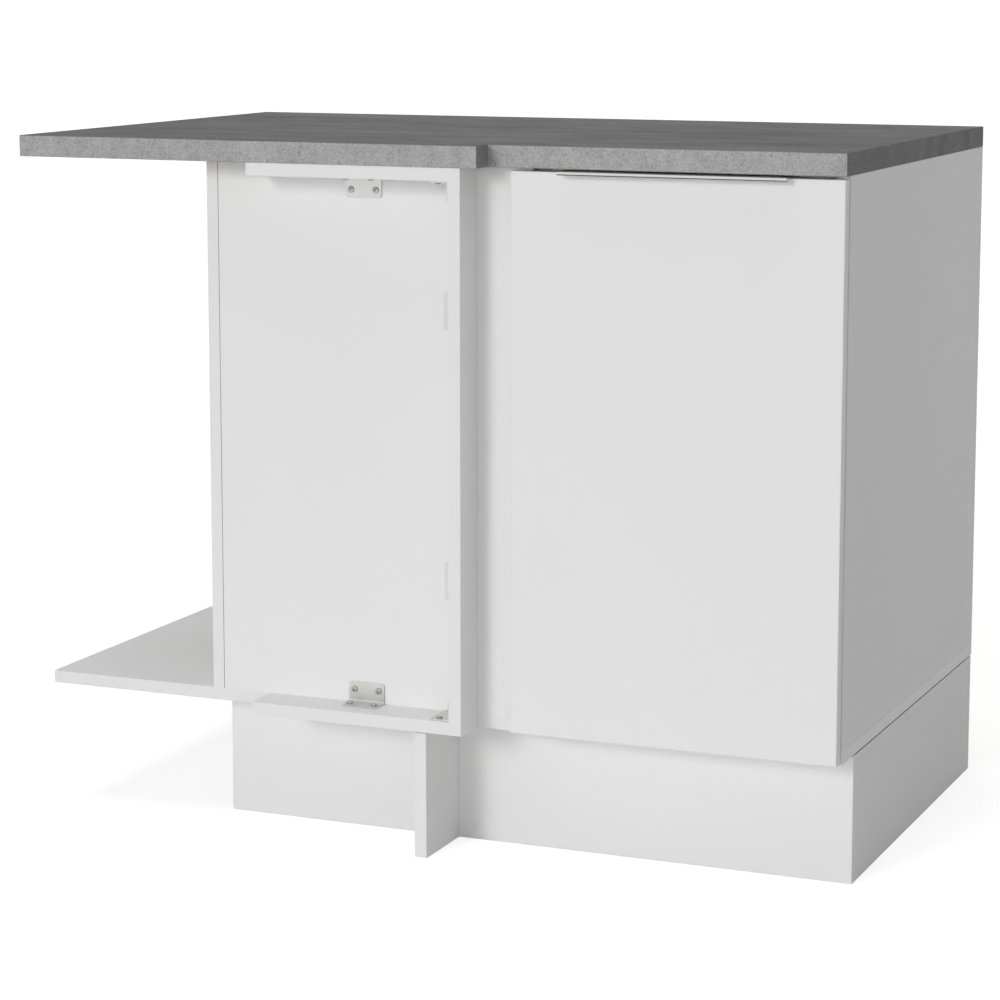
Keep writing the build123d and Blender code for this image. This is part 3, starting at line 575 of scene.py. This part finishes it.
def easedCopy(name, width):
    shell = mergedShell(cadNodes[name].data)
    bmesh.ops.dissolve_limit(
        shell, angle_limit=math.radians(easing["flatDegrees"]), verts=shell.verts, edges=shell.edges)
    cornerAngle = math.radians(easing["cornerDegrees"])
    corners = [edge for edge in shell.edges if edge.calc_face_angle(0) > cornerAngle]
    bmesh.ops.bevel(shell, geom=corners, offset=width * mm, segments=easing["steps"],
                    profile=easing["roundness"], affect="EDGES", clamp_overlap=True)
    bmesh.ops.remove_doubles(shell, verts=shell.verts, dist=easing["mergeMm"] * mm)
    eased = bpy.data.meshes.new(name + "_eased")
    shell.to_mesh(eased)
    shell.free()
    return eased


for name, width in easedEdges.items():
    placePiece(name + "_eased", shadeByAngle(easedCopy(name, width)), name)
print("Fittings eased:", len(easedEdges))


def startGeometryTree(name, inputs):
    tree = bpy.data.node_groups.new(name, "GeometryNodeTree")
    tree.interface.new_socket("Geometry", in_out="OUTPUT", socket_type="NodeSocketGeometry")
    for socketName, socketType in inputs.items():
        tree.interface.new_socket(socketName, in_out="INPUT", socket_type=socketType)
    return tree, addNode(tree, "NodeGroupInput").outputs


def finishGeometryTree(tree, geometry, size):
    realized = addNode(tree, "GeometryNodeRealizeInstances", {"Geometry": geometry})
    painted = addNode(tree, "GeometryNodeSetMaterial", {"Geometry": realized, "Material": size["Finish"]})
    addNode(tree, "NodeGroupOutput", {0: painted})


def runGeometryTree(tree, seats, values):
    # evaluates the tree on a mesh of points
    identifiers = {
        item.name: item.identifier for item in tree.interface.items_tree if item.in_out == "INPUT"}
    return withModifier(tree.name, seats, "NODES", node_group=tree, inputs={
        identifiers[socketName]: value for socketName, value in values.items()})


def raised(tree, geometry, rise):
    return addNode(tree, "GeometryNodeTransform", {
        "Geometry": geometry, "Translation": addNode(tree, "ShaderNodeCombineXYZ", {"Z": rise})})


def fromAxis(tree):
    # a point's place, flattened onto the level plane, and its height
    here = addNode(tree, "GeometryNodeInputPosition")
    flat = addNode(tree, "ShaderNodeVectorMath", {0: here, 1: (1.0, 1.0, 0.0)}, operation="MULTIPLY")
    return flat, addNode(tree, "ShaderNodeSeparateXYZ", {"Vector": here}).outputs["Z"]


def drawInEnd(tree, solid, end, amount, toleranceMm=0.1):
    # moves the ring at one level inwards, which eases or points the end of a turned shape
    flat, level = fromAxis(tree)
    atEnd = addNode(tree, "ShaderNodeMath", {0: level, 1: end, 2: toleranceMm * mm}, operation="COMPARE")
    way = addNode(tree, "ShaderNodeVectorMath", {0: flat}, operation="NORMALIZE")
    inward = addNode(tree, "ShaderNodeMath", {0: amount, 1: -1.0}, operation="MULTIPLY")
    step = addNode(tree, "ShaderNodeVectorMath", {0: way, "Scale": inward}, operation="SCALE")
    return addNode(tree, "GeometryNodeSetPosition", {"Geometry": solid, "Selection": atEnd, "Offset": step})


def addTurned(tree, sides, radius, bottom, height, rings):
    solid = addNode(tree, "GeometryNodeMeshCylinder", {
        "Vertices": sides, "Side Segments": rings, "Radius": radius, "Depth": height})
    half = addNode(tree, "ShaderNodeMath", {0: height, 1: 0.5}, operation="MULTIPLY")
    return raised(tree, solid, addNode(tree, "ShaderNodeMath", {0: half, 1: bottom}, operation="ADD"))


# Screws: a domed head with a cross recess, on a plain shank with a tapered tip. The head's height, the
# shank's radius and its length differ by group, in millimetres.
screwLooks = {
    "bracket_screws": {"head": 2.2, "shank": 1.6, "length": 12.0},
    "leg_socket_screws": {"head": 2.2, "shank": 1.6, "length": 12.0},
    "plinth_clip_screws": {"head": 2.2, "shank": 1.6, "length": 12.0},
    "handle_screws": {"head": 1.1, "shank": 1.6, "length": 12.0},
    "hinge_cup_screws": {"head": 1.1, "shank": 1.6, "length": 11.0},
    "hinge_plate_screws": {"head": 2.2, "shank": 2.4, "length": 11.0},
    "hinge_arm_screws": {"head": 1.1, "shank": 2.4, "length": 6.0},
    "worktop_screws": {"head": 2.2, "shank": 1.6, "length": 30.0},
}
# Common to all groups: sizes where the name says millimetres, the rest counts and shares
screwShape = {
    "headRadiusMm": 3.9, "recessSpanMm": 4.3, "recessWidthMm": 0.95, "recessShare": 0.72, "tipMm": 2.0,
    "headSides": 24, "headRings": 5, "domeCurve": 3.0, "domeFall": 0.66,
    "bladeTop": 0.74, "bladeBottom": 0.4, "bladeOvershoot": 1.2, "bladeDepths": (1.0, 1.06),
    "shankSides": 16, "tipTaper": 0.85,
    # where the painted shade on the heads begins, at the rim and down the recess, and how dark it gets
    "rimShadeFrom": 0.66, "rimShade": 0.65, "recessShadeFrom": 0.7, "recessShadeTo": 0.3, "recessShade": 0.3,
}


def addDomedHead(tree, size):
    halfHeight = addNode(tree, "ShaderNodeMath", {0: size["Head height"], 1: 0.5}, operation="MULTIPLY")
    standing = raised(tree, addNode(tree, "GeometryNodeMeshCylinder", {
        "Vertices": screwShape["headSides"], "Side Segments": 1, "Fill Segments": screwShape["headRings"],
        "Radius": size["Head radius"], "Depth": size["Head height"]}), halfHeight)
    # the top falls away towards the rim, and the rim keeps a third of the height
    flat, level = fromAxis(tree)
    outward = addNode(tree, "ShaderNodeVectorMath", {0: flat}, operation="LENGTH")
    share = addNode(tree, "ShaderNodeMath", {0: outward, 1: size["Head radius"]}, operation="DIVIDE")
    bent = addNode(tree, "ShaderNodeMath", {0: share, 1: screwShape["domeCurve"]}, operation="POWER")
    fall = addNode(tree, "ShaderNodeMath", {0: bent, 1: -screwShape["domeFall"]}, operation="MULTIPLY")
    drop = addNode(tree, "ShaderNodeMath", {0: fall, 1: size["Head height"]}, operation="MULTIPLY")
    upperHalf = addNode(tree, "FunctionNodeCompare", {0: level, 1: halfHeight}, operation="GREATER_THAN")
    return addNode(tree, "GeometryNodeSetPosition", {
        "Geometry": standing, "Selection": upperHalf,
        "Offset": addNode(tree, "ShaderNodeCombineXYZ", {"Z": drop})})


def cutRecess(tree, head, size):
    # two tapered blades make the cross, one a little deeper, because level floors cancel out where they meet
    blade = addNode(tree, "GeometryNodeMeshCone", {
        "Vertices": 4, "Radius Top": screwShape["bladeTop"], "Radius Bottom": screwShape["bladeBottom"],
        "Depth": 1.0})
    squared = addNode(tree, "GeometryNodeTransform", {
        "Geometry": blade, "Rotation": (0.0, 0.0, math.radians(45))})
    sides = ("Recess span", "Recess width")
    blades = []
    for across, along, share in zip(sides, reversed(sides), screwShape["bladeDepths"]):
        depth = addNode(tree, "ShaderNodeMath", {0: size["Recess depth"], 1: share}, operation="MULTIPLY")
        base = addNode(tree, "ShaderNodeMath", {0: size["Head height"], 1: depth}, operation="SUBTRACT")
        height = addNode(tree, "ShaderNodeMath", {0: depth, 1: screwShape["bladeOvershoot"]},
                         operation="MULTIPLY")
        shape = addNode(tree, "ShaderNodeCombineXYZ", {"X": size[across], "Y": size[along], "Z": height})
        blades.append(addNode(tree, "GeometryNodeTransform", {
            "Geometry": squared, "Translation": addNode(tree, "ShaderNodeCombineXYZ", {"Z": base}),
            "Scale": shape}))
    return addNode(tree, "GeometryNodeMeshBoolean", {"Mesh 1": head, "Mesh 2": blades},
                   operation="DIFFERENCE")


def addShank(tree, size):
    # below the seat, in rings a tip's length apart, with the last ring drawn in to a blunt point
    steps = addNode(tree, "ShaderNodeMath", {0: size["Length"], 1: size["Tip length"]}, operation="DIVIDE")
    bottom = addNode(tree, "ShaderNodeMath", {0: size["Length"], 1: -1.0}, operation="MULTIPLY")
    taper = addNode(tree, "ShaderNodeMath", {0: size["Shank radius"], 1: screwShape["tipTaper"]},
                    operation="MULTIPLY")
    plain = addTurned(tree, screwShape["shankSides"], size["Shank radius"], bottom, size["Length"], steps)
    return drawInEnd(tree, plain, bottom, taper)


def paintedHeadShade(tree, screw, size):
    # stores the head's painted shade: a dark reflection, most at the rim, and shade down in the recess
    flat, level = fromAxis(tree)
    reach = addNode(tree, "ShaderNodeVectorMath", {0: flat}, operation="LENGTH")
    atRim = addNode(tree, "ShaderNodeMapRange", {
        "Value": addNode(tree, "ShaderNodeMath", {0: reach, 1: size["Head radius"]}, operation="DIVIDE"),
        "From Min": screwShape["rimShadeFrom"], "From Max": 1.0,
        "To Min": 0.0, "To Max": screwShape["rimShade"]})
    heightShare = addNode(tree, "ShaderNodeMath", {0: level, 1: size["Head height"]}, operation="DIVIDE")
    inRecess = addNode(tree, "ShaderNodeMapRange", {
        "Value": heightShare,
        "From Min": screwShape["recessShadeFrom"], "From Max": screwShape["recessShadeTo"],
        "To Min": 0.0, "To Max": screwShape["recessShade"]})
    shadeAmount = addNode(tree, "ShaderNodeMath", {0: atRim, 1: inRecess}, operation="MAXIMUM")
    return addNode(tree, "GeometryNodeStoreNamedAttribute", {
        "Geometry": screw, "Name": "dulled", "Value": shadeAmount}, data_type="FLOAT", domain="POINT")


def makeScrewTree():
    sizes = ["Head radius", "Head height", "Recess span", "Recess width", "Recess depth", "Shank radius",
             "Length", "Tip length"]
    tree, size = startGeometryTree("Cross-head screws", {
        "Seats": "NodeSocketGeometry", **{name: "NodeSocketFloat" for name in sizes},
        "Seed": "NodeSocketInt", "Finish": "NodeSocketMaterial"})
    head = cutRecess(tree, addDomedHead(tree, size), size)
    whole = addNode(tree, "GeometryNodeJoinGeometry", {"Geometry": [head, addShank(tree, size)]})
    screw = paintedHeadShade(tree, whole, size)
    # each stands on its seat, turned as far as it happened to be driven
    wayOut = addNode(tree, "GeometryNodeInputNamedAttribute", {"Name": "wayOut"}, data_type="FLOAT_VECTOR")
    upright = addNode(tree, "FunctionNodeAlignRotationToVector", {"Vector": wayOut}, axis="Z")
    driven = addNode(tree, "FunctionNodeRandomValue", {
        "Min": 0.0, "Max": math.pi / 2, "Seed": size["Seed"]}, data_type="FLOAT")
    spin = addNode(tree, "FunctionNodeAxisAngleToRotation", {"Axis": (0.0, 0.0, 1.0), "Angle": driven})
    turned = addNode(tree, "FunctionNodeRotateRotation", {"Rotation": upright, "Rotate By": spin},
                     rotation_space="LOCAL")
    placed = addNode(tree, "GeometryNodeInstanceOnPoints", {
        "Points": size["Seats"], "Instance": screw, "Rotation": turned})
    finishGeometryTree(tree, placed, size)
    return tree


def islandsOf(mesh):
    # the merged shells of a CAD node, each as its list of points, in the order of their middles
    shell = mergedShell(mesh)
    unseen = set(shell.verts)
    islands = []
    while unseen:
        front = [unseen.pop()]
        island = []
        while front:
            corner = front.pop()
            island.append(corner.co.copy())
            for edge in corner.link_edges:
                other = edge.other_vert(corner)
                if other in unseen:
                    unseen.remove(other)
                    front.append(other)
        islands.append(island)
    shell.free()
    return sorted(
        islands, key=lambda island: tuple(round(c, 5) for c in sum(island, Vector()) / len(island)))


def seatOf(island):
    # a screw lies along the side whose length is unlike the other two, and its seat is where it is widest
    low = Vector([min(p[i] for p in island) for i in range(3)])
    high = Vector([max(p[i] for p in island) for i in range(3)])
    spans = high - low
    axis = max(range(3), key=lambda i: min(abs(spans[i] - spans[j]) for j in range(3) if j != i))
    middle = (low + high) / 2
    radius = {}
    for p in island:
        level = round(p[axis], 6)
        away = math.sqrt(sum((p[i] - middle[i]) ** 2 for i in range(3) if i != axis))
        radius[level] = max(radius.get(level, 0.0), away)
    widest = max(radius, key=radius.get)
    seat = middle.copy()
    seat[axis] = widest
    wayOut = Vector()
    wayOut[axis] = 1 if high[axis] - widest < widest - low[axis] else -1
    return seat, wayOut


def pointsMesh(name, points):
    mesh = bpy.data.meshes.new(name)
    mesh.from_pydata(points, [], [])
    return mesh


def screwSeats(node):
    placed = [seatOf(island) for island in islandsOf(cadNodes[node].data)]
    seats = pointsMesh(node + "_seats", [seat for seat, wayOut in placed])
    attribute = seats.attributes.new("wayOut", "FLOAT_VECTOR", "POINT")
    attribute.data.foreach_set("vector", [c for seat, wayOut in placed for c in wayOut])
    return seats


screwTree = makeScrewTree()
for seed, (name, look) in enumerate(screwLooks.items()):
    screws = runGeometryTree(screwTree, screwSeats(name), {
        "Head radius": screwShape["headRadiusMm"] * mm,
        "Head height": look["head"] * mm,
        "Recess span": screwShape["recessSpanMm"] * mm,
        "Recess width": screwShape["recessWidthMm"] * mm,
        "Recess depth": look["head"] * screwShape["recessShare"] * mm,
        "Shank radius": look["shank"] * mm,
        "Length": look["length"] * mm,
        "Tip length": screwShape["tipMm"] * mm,
        "Seed": seed,
        "Finish": slotMaterials["screw_steel"]})
    placePiece(name + "_turned", shadeByAngle(screws), name)
print("Screws driven in", len(screwLooks), "groups")


# Feet: moulded in one piece each, with ribs to stiffen the pad, a hexagonal collar to turn them by and a
# screw with a rounded thread. Sizes in millimetres.
footLook = {
    "padRadius": 30.0, "padHeight": 8.0, "padEase": 1.5,
    "coreRadius": 11.6, "stemTop": 113.0,
    "threadRadius": 0.95, "threadMiddle": 12.15, "threadFrom": 55.0, "threadTo": 111.0, "threadPitch": 4.0,
    "collarRadius": 20.0, "collarBottom": 40.0, "collarHeight": 12.0, "collarEase": 1.0,
    "ribs": 8, "ribStart": 10.5, "ribReach": 16.5, "ribHeight": 19.0, "ribThickness": 2.0, "ribLip": 1.2,
}
# Sockets: gussets under the plate and a bead round the mouth
gussetLook = {
    "gussets": 4, "start": 16.0, "reach": 10.0, "height": 22.0, "thickness": 2.2, "lip": 1.2,
    "mouthDrop": 81.5, "beadMiddle": 17.3, "beadWidth": 2.0, "beadHeight": 3.0,
}
socketPlateMm = 4
# how many sides and rings the turned shapes have
fineness = {
    "padSides": 64, "padRings": 4, "coreSides": 32, "coreRings": 60, "collarSides": 6, "collarRings": 12,
    "threadSteps": 24, "threadSides": 6, "beadSides": 48,
}


def addWedges(tree, count, start, reach, height, thickness, lip):
    # a ring of triangular ribs standing on the level z = 0
    block = addNode(tree, "GeometryNodeMeshCube", {
        "Size": addNode(tree, "ShaderNodeCombineXYZ", {"X": reach, "Y": thickness, "Z": height})})
    here = addNode(tree, "ShaderNodeSeparateXYZ", {"Vector": addNode(tree, "GeometryNodeInputPosition")})
    outer = addNode(tree, "FunctionNodeCompare", {0: here.outputs["X"], 1: 0.0}, operation="GREATER_THAN")
    upper = addNode(tree, "FunctionNodeCompare", {0: here.outputs["Z"], 1: 0.0}, operation="GREATER_THAN")
    corner = addNode(tree, "FunctionNodeBooleanMath", {0: outer, 1: upper}, operation="AND")
    fall = addNode(tree, "ShaderNodeMath", {0: lip, 1: height}, operation="SUBTRACT")
    wedge = addNode(tree, "GeometryNodeSetPosition", {
        "Geometry": block, "Selection": corner,
        "Offset": addNode(tree, "ShaderNodeCombineXYZ", {"Z": fall})})
    halfReach = addNode(tree, "ShaderNodeMath", {0: reach, 1: 0.5}, operation="MULTIPLY")
    outward = addNode(tree, "ShaderNodeMath", {0: halfReach, 1: start}, operation="ADD")
    rise = addNode(tree, "ShaderNodeMath", {0: height, 1: 0.5}, operation="MULTIPLY")
    standing = addNode(tree, "GeometryNodeTransform", {
        "Geometry": wedge, "Translation": addNode(tree, "ShaderNodeCombineXYZ", {"X": outward, "Z": rise})})
    row = addNode(tree, "GeometryNodeMeshLine", {"Count": count, "Offset": (0.0, 0.0, 0.0)})
    share = addNode(tree, "ShaderNodeMath", {0: addNode(tree, "GeometryNodeInputIndex"), 1: count},
                    operation="DIVIDE")
    angle = addNode(tree, "ShaderNodeMath", {0: share, 1: math.tau}, operation="MULTIPLY")
    turn = addNode(tree, "FunctionNodeAxisAngleToRotation", {"Axis": (0.0, 0.0, 1.0), "Angle": angle})
    return addNode(tree, "GeometryNodeInstanceOnPoints", {
        "Points": row, "Instance": standing, "Rotation": turn})


def startMouldedTree(name, look):
    # every size in the look is an input, and a whole number is a count
    kinds = {size: "NodeSocketInt" if isinstance(value, int) else "NodeSocketFloat"
             for size, value in look.items()}
    return startGeometryTree(name, {
        "Seats": "NodeSocketGeometry", **kinds, "Finish": "NodeSocketMaterial"})


def addThread(tree, size):
    run = addNode(tree, "ShaderNodeMath", {0: size["threadTo"], 1: size["threadFrom"]}, operation="SUBTRACT")
    turns = addNode(tree, "ShaderNodeMath", {0: run, 1: size["threadPitch"]}, operation="DIVIDE")
    helix = addNode(tree, "GeometryNodeCurveSpiral", {
        "Resolution": fineness["threadSteps"], "Rotations": turns, "Start Radius": size["threadMiddle"],
        "End Radius": size["threadMiddle"], "Height": run})
    profile = addNode(tree, "GeometryNodeCurvePrimitiveCircle", {
        "Resolution": fineness["threadSides"], "Radius": size["threadRadius"]})
    thread = addNode(tree, "GeometryNodeCurveToMesh", {
        "Curve": helix, "Profile Curve": profile, "Fill Caps": True})
    return raised(tree, thread, size["threadFrom"])


def makeFootTree():
    tree, size = startMouldedTree("Screw-in feet", footLook)
    pad = addTurned(tree, fineness["padSides"], size["padRadius"], 0.0, size["padHeight"],
                    fineness["padRings"])
    pad = drawInEnd(tree, pad, size["padHeight"], size["padEase"])
    coreHeight = addNode(tree, "ShaderNodeMath", {0: size["stemTop"], 1: size["padHeight"]},
                         operation="SUBTRACT")
    core = addTurned(tree, fineness["coreSides"], size["coreRadius"], size["padHeight"], coreHeight,
                     fineness["coreRings"])
    core = drawInEnd(tree, core, size["stemTop"], size["collarEase"])
    collarTop = addNode(tree, "ShaderNodeMath", {0: size["collarBottom"], 1: size["collarHeight"]},
                        operation="ADD")
    collar = addTurned(tree, fineness["collarSides"], size["collarRadius"], size["collarBottom"],
                       size["collarHeight"], fineness["collarRings"])
    for end in (size["collarBottom"], collarTop):
        collar = drawInEnd(tree, collar, end, size["collarEase"])
    ribs = addWedges(tree, size["ribs"], size["ribStart"], size["ribReach"], size["ribHeight"],
                     size["ribThickness"], size["ribLip"])
    foot = addNode(tree, "GeometryNodeJoinGeometry", {
        "Geometry": [pad, core, collar, addThread(tree, size), raised(tree, ribs, size["padHeight"])]})
    placed = addNode(tree, "GeometryNodeInstanceOnPoints", {"Points": size["Seats"], "Instance": foot})
    finishGeometryTree(tree, placed, size)
    return tree


def makeGussetTree():
    tree, size = startMouldedTree("Socket gussets", gussetLook)
    standing = addWedges(tree, size["gussets"], size["start"], size["reach"], size["height"],
                         size["thickness"], size["lip"])
    hanging = addNode(tree, "GeometryNodeTransform", {
        "Geometry": standing, "Rotation": (math.radians(180), 0.0, 0.0)})
    ring = addNode(tree, "GeometryNodeCurvePrimitiveCircle", {
        "Resolution": fineness["beadSides"], "Radius": size["beadMiddle"]})
    section = addNode(tree, "GeometryNodeCurvePrimitiveQuadrilateral", {
        "Width": size["beadWidth"], "Height": size["beadHeight"]})
    bead = addNode(tree, "GeometryNodeCurveToMesh", {"Curve": ring, "Profile Curve": section})
    drop = addNode(tree, "ShaderNodeMath", {0: size["mouthDrop"], 1: -1.0}, operation="MULTIPLY")
    together = addNode(tree, "GeometryNodeJoinGeometry", {"Geometry": [hanging, raised(tree, bead, drop)]})
    placed = addNode(tree, "GeometryNodeInstanceOnPoints", {"Points": size["Seats"], "Instance": together})
    finishGeometryTree(tree, placed, size)
    return tree


def moulded(tree, seats, look):
    inMetres = {size: value if isinstance(value, int) else value * mm for size, value in look.items()}
    return shadeByAngle(runGeometryTree(tree, seats, {**inMetres, "Finish": slotMaterials["black_plastic"]}))


footTree = makeFootTree()
legCentres = []
for name in sorted(name for name in cadNodes if name.startswith("foot_")):
    low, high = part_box(name)
    legCentres.append(((low[0] + high[0]) / 2, (low[1] + high[1]) / 2))
    seat = pointsMesh(name + "_seat", [(*legCentres[-1], 0.0)])
    placePiece(name + "_moulded", moulded(footTree, seat, footLook), name)
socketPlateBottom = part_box("leg_sockets")[1][2] - socketPlateMm * mm
gussetSeats = pointsMesh("gusset_seats", [(x, y, socketPlateBottom) for x, y in legCentres])
placePiece("leg_socket_gussets", moulded(makeGussetTree(), gussetSeats, gussetLook), "leg_sockets",
           replacing=False)
print("Feet moulded:", len(legCentres))


# Studio: a pale floor, a sky that glows low in front, a soft low key from the front left, one lamp overhead,
# and a low one from the rear left for the sides that the camera doesn't see
studio = {
    "floor": "#E6E6E6",
    "floorHalf": 600.0,
    "backgroundLift": 0.64,
    "skyFront": 0.38,
    "horizonGlow": 3.9,
    "horizonTop": 0.2,
}
# key and rear lamp stay out of gloss, where they made the worktop far too bright when seen at a low angle
lamps = {
    "key": {"strength": 0.96, "softness": 17, "fromLeft": 18.5, "height": 18.2, "mirrored": False},
    "overhead": {"strength": 0.98, "softness": 36, "fromLeft": 0, "height": 87, "mirrored": True},
    "rear": {"strength": 0.95, "softness": 40, "fromLeft": 150, "height": 12, "mirrored": False},
}


def seenAsBackground(tree):
    # 1 for the rays that see the background itself, 0 for those that carry its light
    rays = addNode(tree, "ShaderNodeLightPath")
    kinds = ("Is Camera Ray", "Is Glossy Ray", "Is Transmission Ray")
    return anyOf(tree, [rays.outputs[kind] for kind in kinds])


def makeFloor():
    material, tree, place = startMaterial("Pale floor")
    base = addNode(tree, "ShaderNodeBsdfDiffuse", {"Color": linearColour(studio["floor"])})
    lift = addNode(tree, "ShaderNodeMath", {0: seenAsBackground(tree), 1: studio["backgroundLift"]},
                   operation="MULTIPLY")
    glow = addNode(tree, "ShaderNodeEmission", {"Strength": lift})
    both = addNode(tree, "ShaderNodeAddShader", {0: base, 1: glow})
    addNode(tree, "ShaderNodeOutputMaterial", {"Surface": both})
    half = studio["floorHalf"]
    mesh = bpy.data.meshes.new("floor")
    mesh.from_pydata([(-half, -half, 0), (half, -half, 0), (half, half, 0), (-half, half, 0)], [],
                     [(0, 1, 2, 3)])
    mesh.materials.append(material)
    floor = bpy.data.objects.new("floor", mesh)
    bpy.context.scene.collection.objects.link(floor)


def makeSky():
    # brightest towards the front and just above the horizon, dark behind, and plain white where it is seen
    world = bpy.data.worlds.new("Front-lit sky")
    world.use_nodes = True
    tree = world.node_tree
    tree.nodes.clear()
    direction = addNode(tree, "ShaderNodeTexCoord")
    towards = addNode(tree, "ShaderNodeSeparateXYZ", {"Vector": direction.outputs["Generated"]})
    frontShare = addNode(tree, "ShaderNodeMath", {0: towards.outputs["Y"], 1: -1.0}, operation="MULTIPLY",
                         use_clamp=True)
    glow = addNode(tree, "ShaderNodeMapRange", {
        "Value": towards.outputs["Z"], "From Min": 0.0, "From Max": studio["horizonTop"],
        "To Min": studio["skyFront"] + studio["horizonGlow"], "To Max": studio["skyFront"]})
    light = addNode(tree, "ShaderNodeMath", {0: frontShare, 1: glow}, operation="MULTIPLY")
    strength = addNode(tree, "ShaderNodeMix", {"Factor": seenAsBackground(tree), "A": light, "B": 1.0})
    sky = addNode(tree, "ShaderNodeBackground", {"Color": (1.0, 1.0, 1.0, 1.0), "Strength": strength})
    addNode(tree, "ShaderNodeOutputWorld", {"Surface": sky})
    bpy.context.scene.world = world


def makeLamp(name, strength, softness, fromLeft, height, mirrored):
    lamp = bpy.data.lights.new(name, "SUN")
    lamp.energy = strength
    lamp.angle = math.radians(softness)
    holder = bpy.data.objects.new(name, lamp)
    holder.rotation_euler = (math.radians(90 - height), 0, math.radians(-fromLeft))
    holder.visible_glossy = mirrored
    bpy.context.scene.collection.objects.link(holder)


# Camera: fitted to the cabinet's corners in the photograph
cameraFit = {
    "place": (1.3855, -3.3312, 1.0108),
    "turnedLeft": 22.858,
    "lookingDown": 8.208,
    "lens": 106.99,
    "sensor": 36,
    "shiftUp": -0.10,
}


def makeCamera():
    data = bpy.data.cameras.new("camera")
    data.lens = cameraFit["lens"]
    data.sensor_width = cameraFit["sensor"]
    data.shift_y = cameraFit["shiftUp"]
    camera = bpy.data.objects.new("camera", data)
    camera.location = cameraFit["place"]
    camera.rotation_euler = (
        math.radians(90 - cameraFit["lookingDown"]), 0, math.radians(cameraFit["turnedLeft"]))
    bpy.context.scene.collection.objects.link(camera)
    bpy.context.scene.camera = camera


makeFloor()
makeSky()
for name, lamp in lamps.items():
    makeLamp(name, **lamp)
makeCamera()
bpy.context.scene.view_settings.view_transform = "Standard"
print("Studio ready")
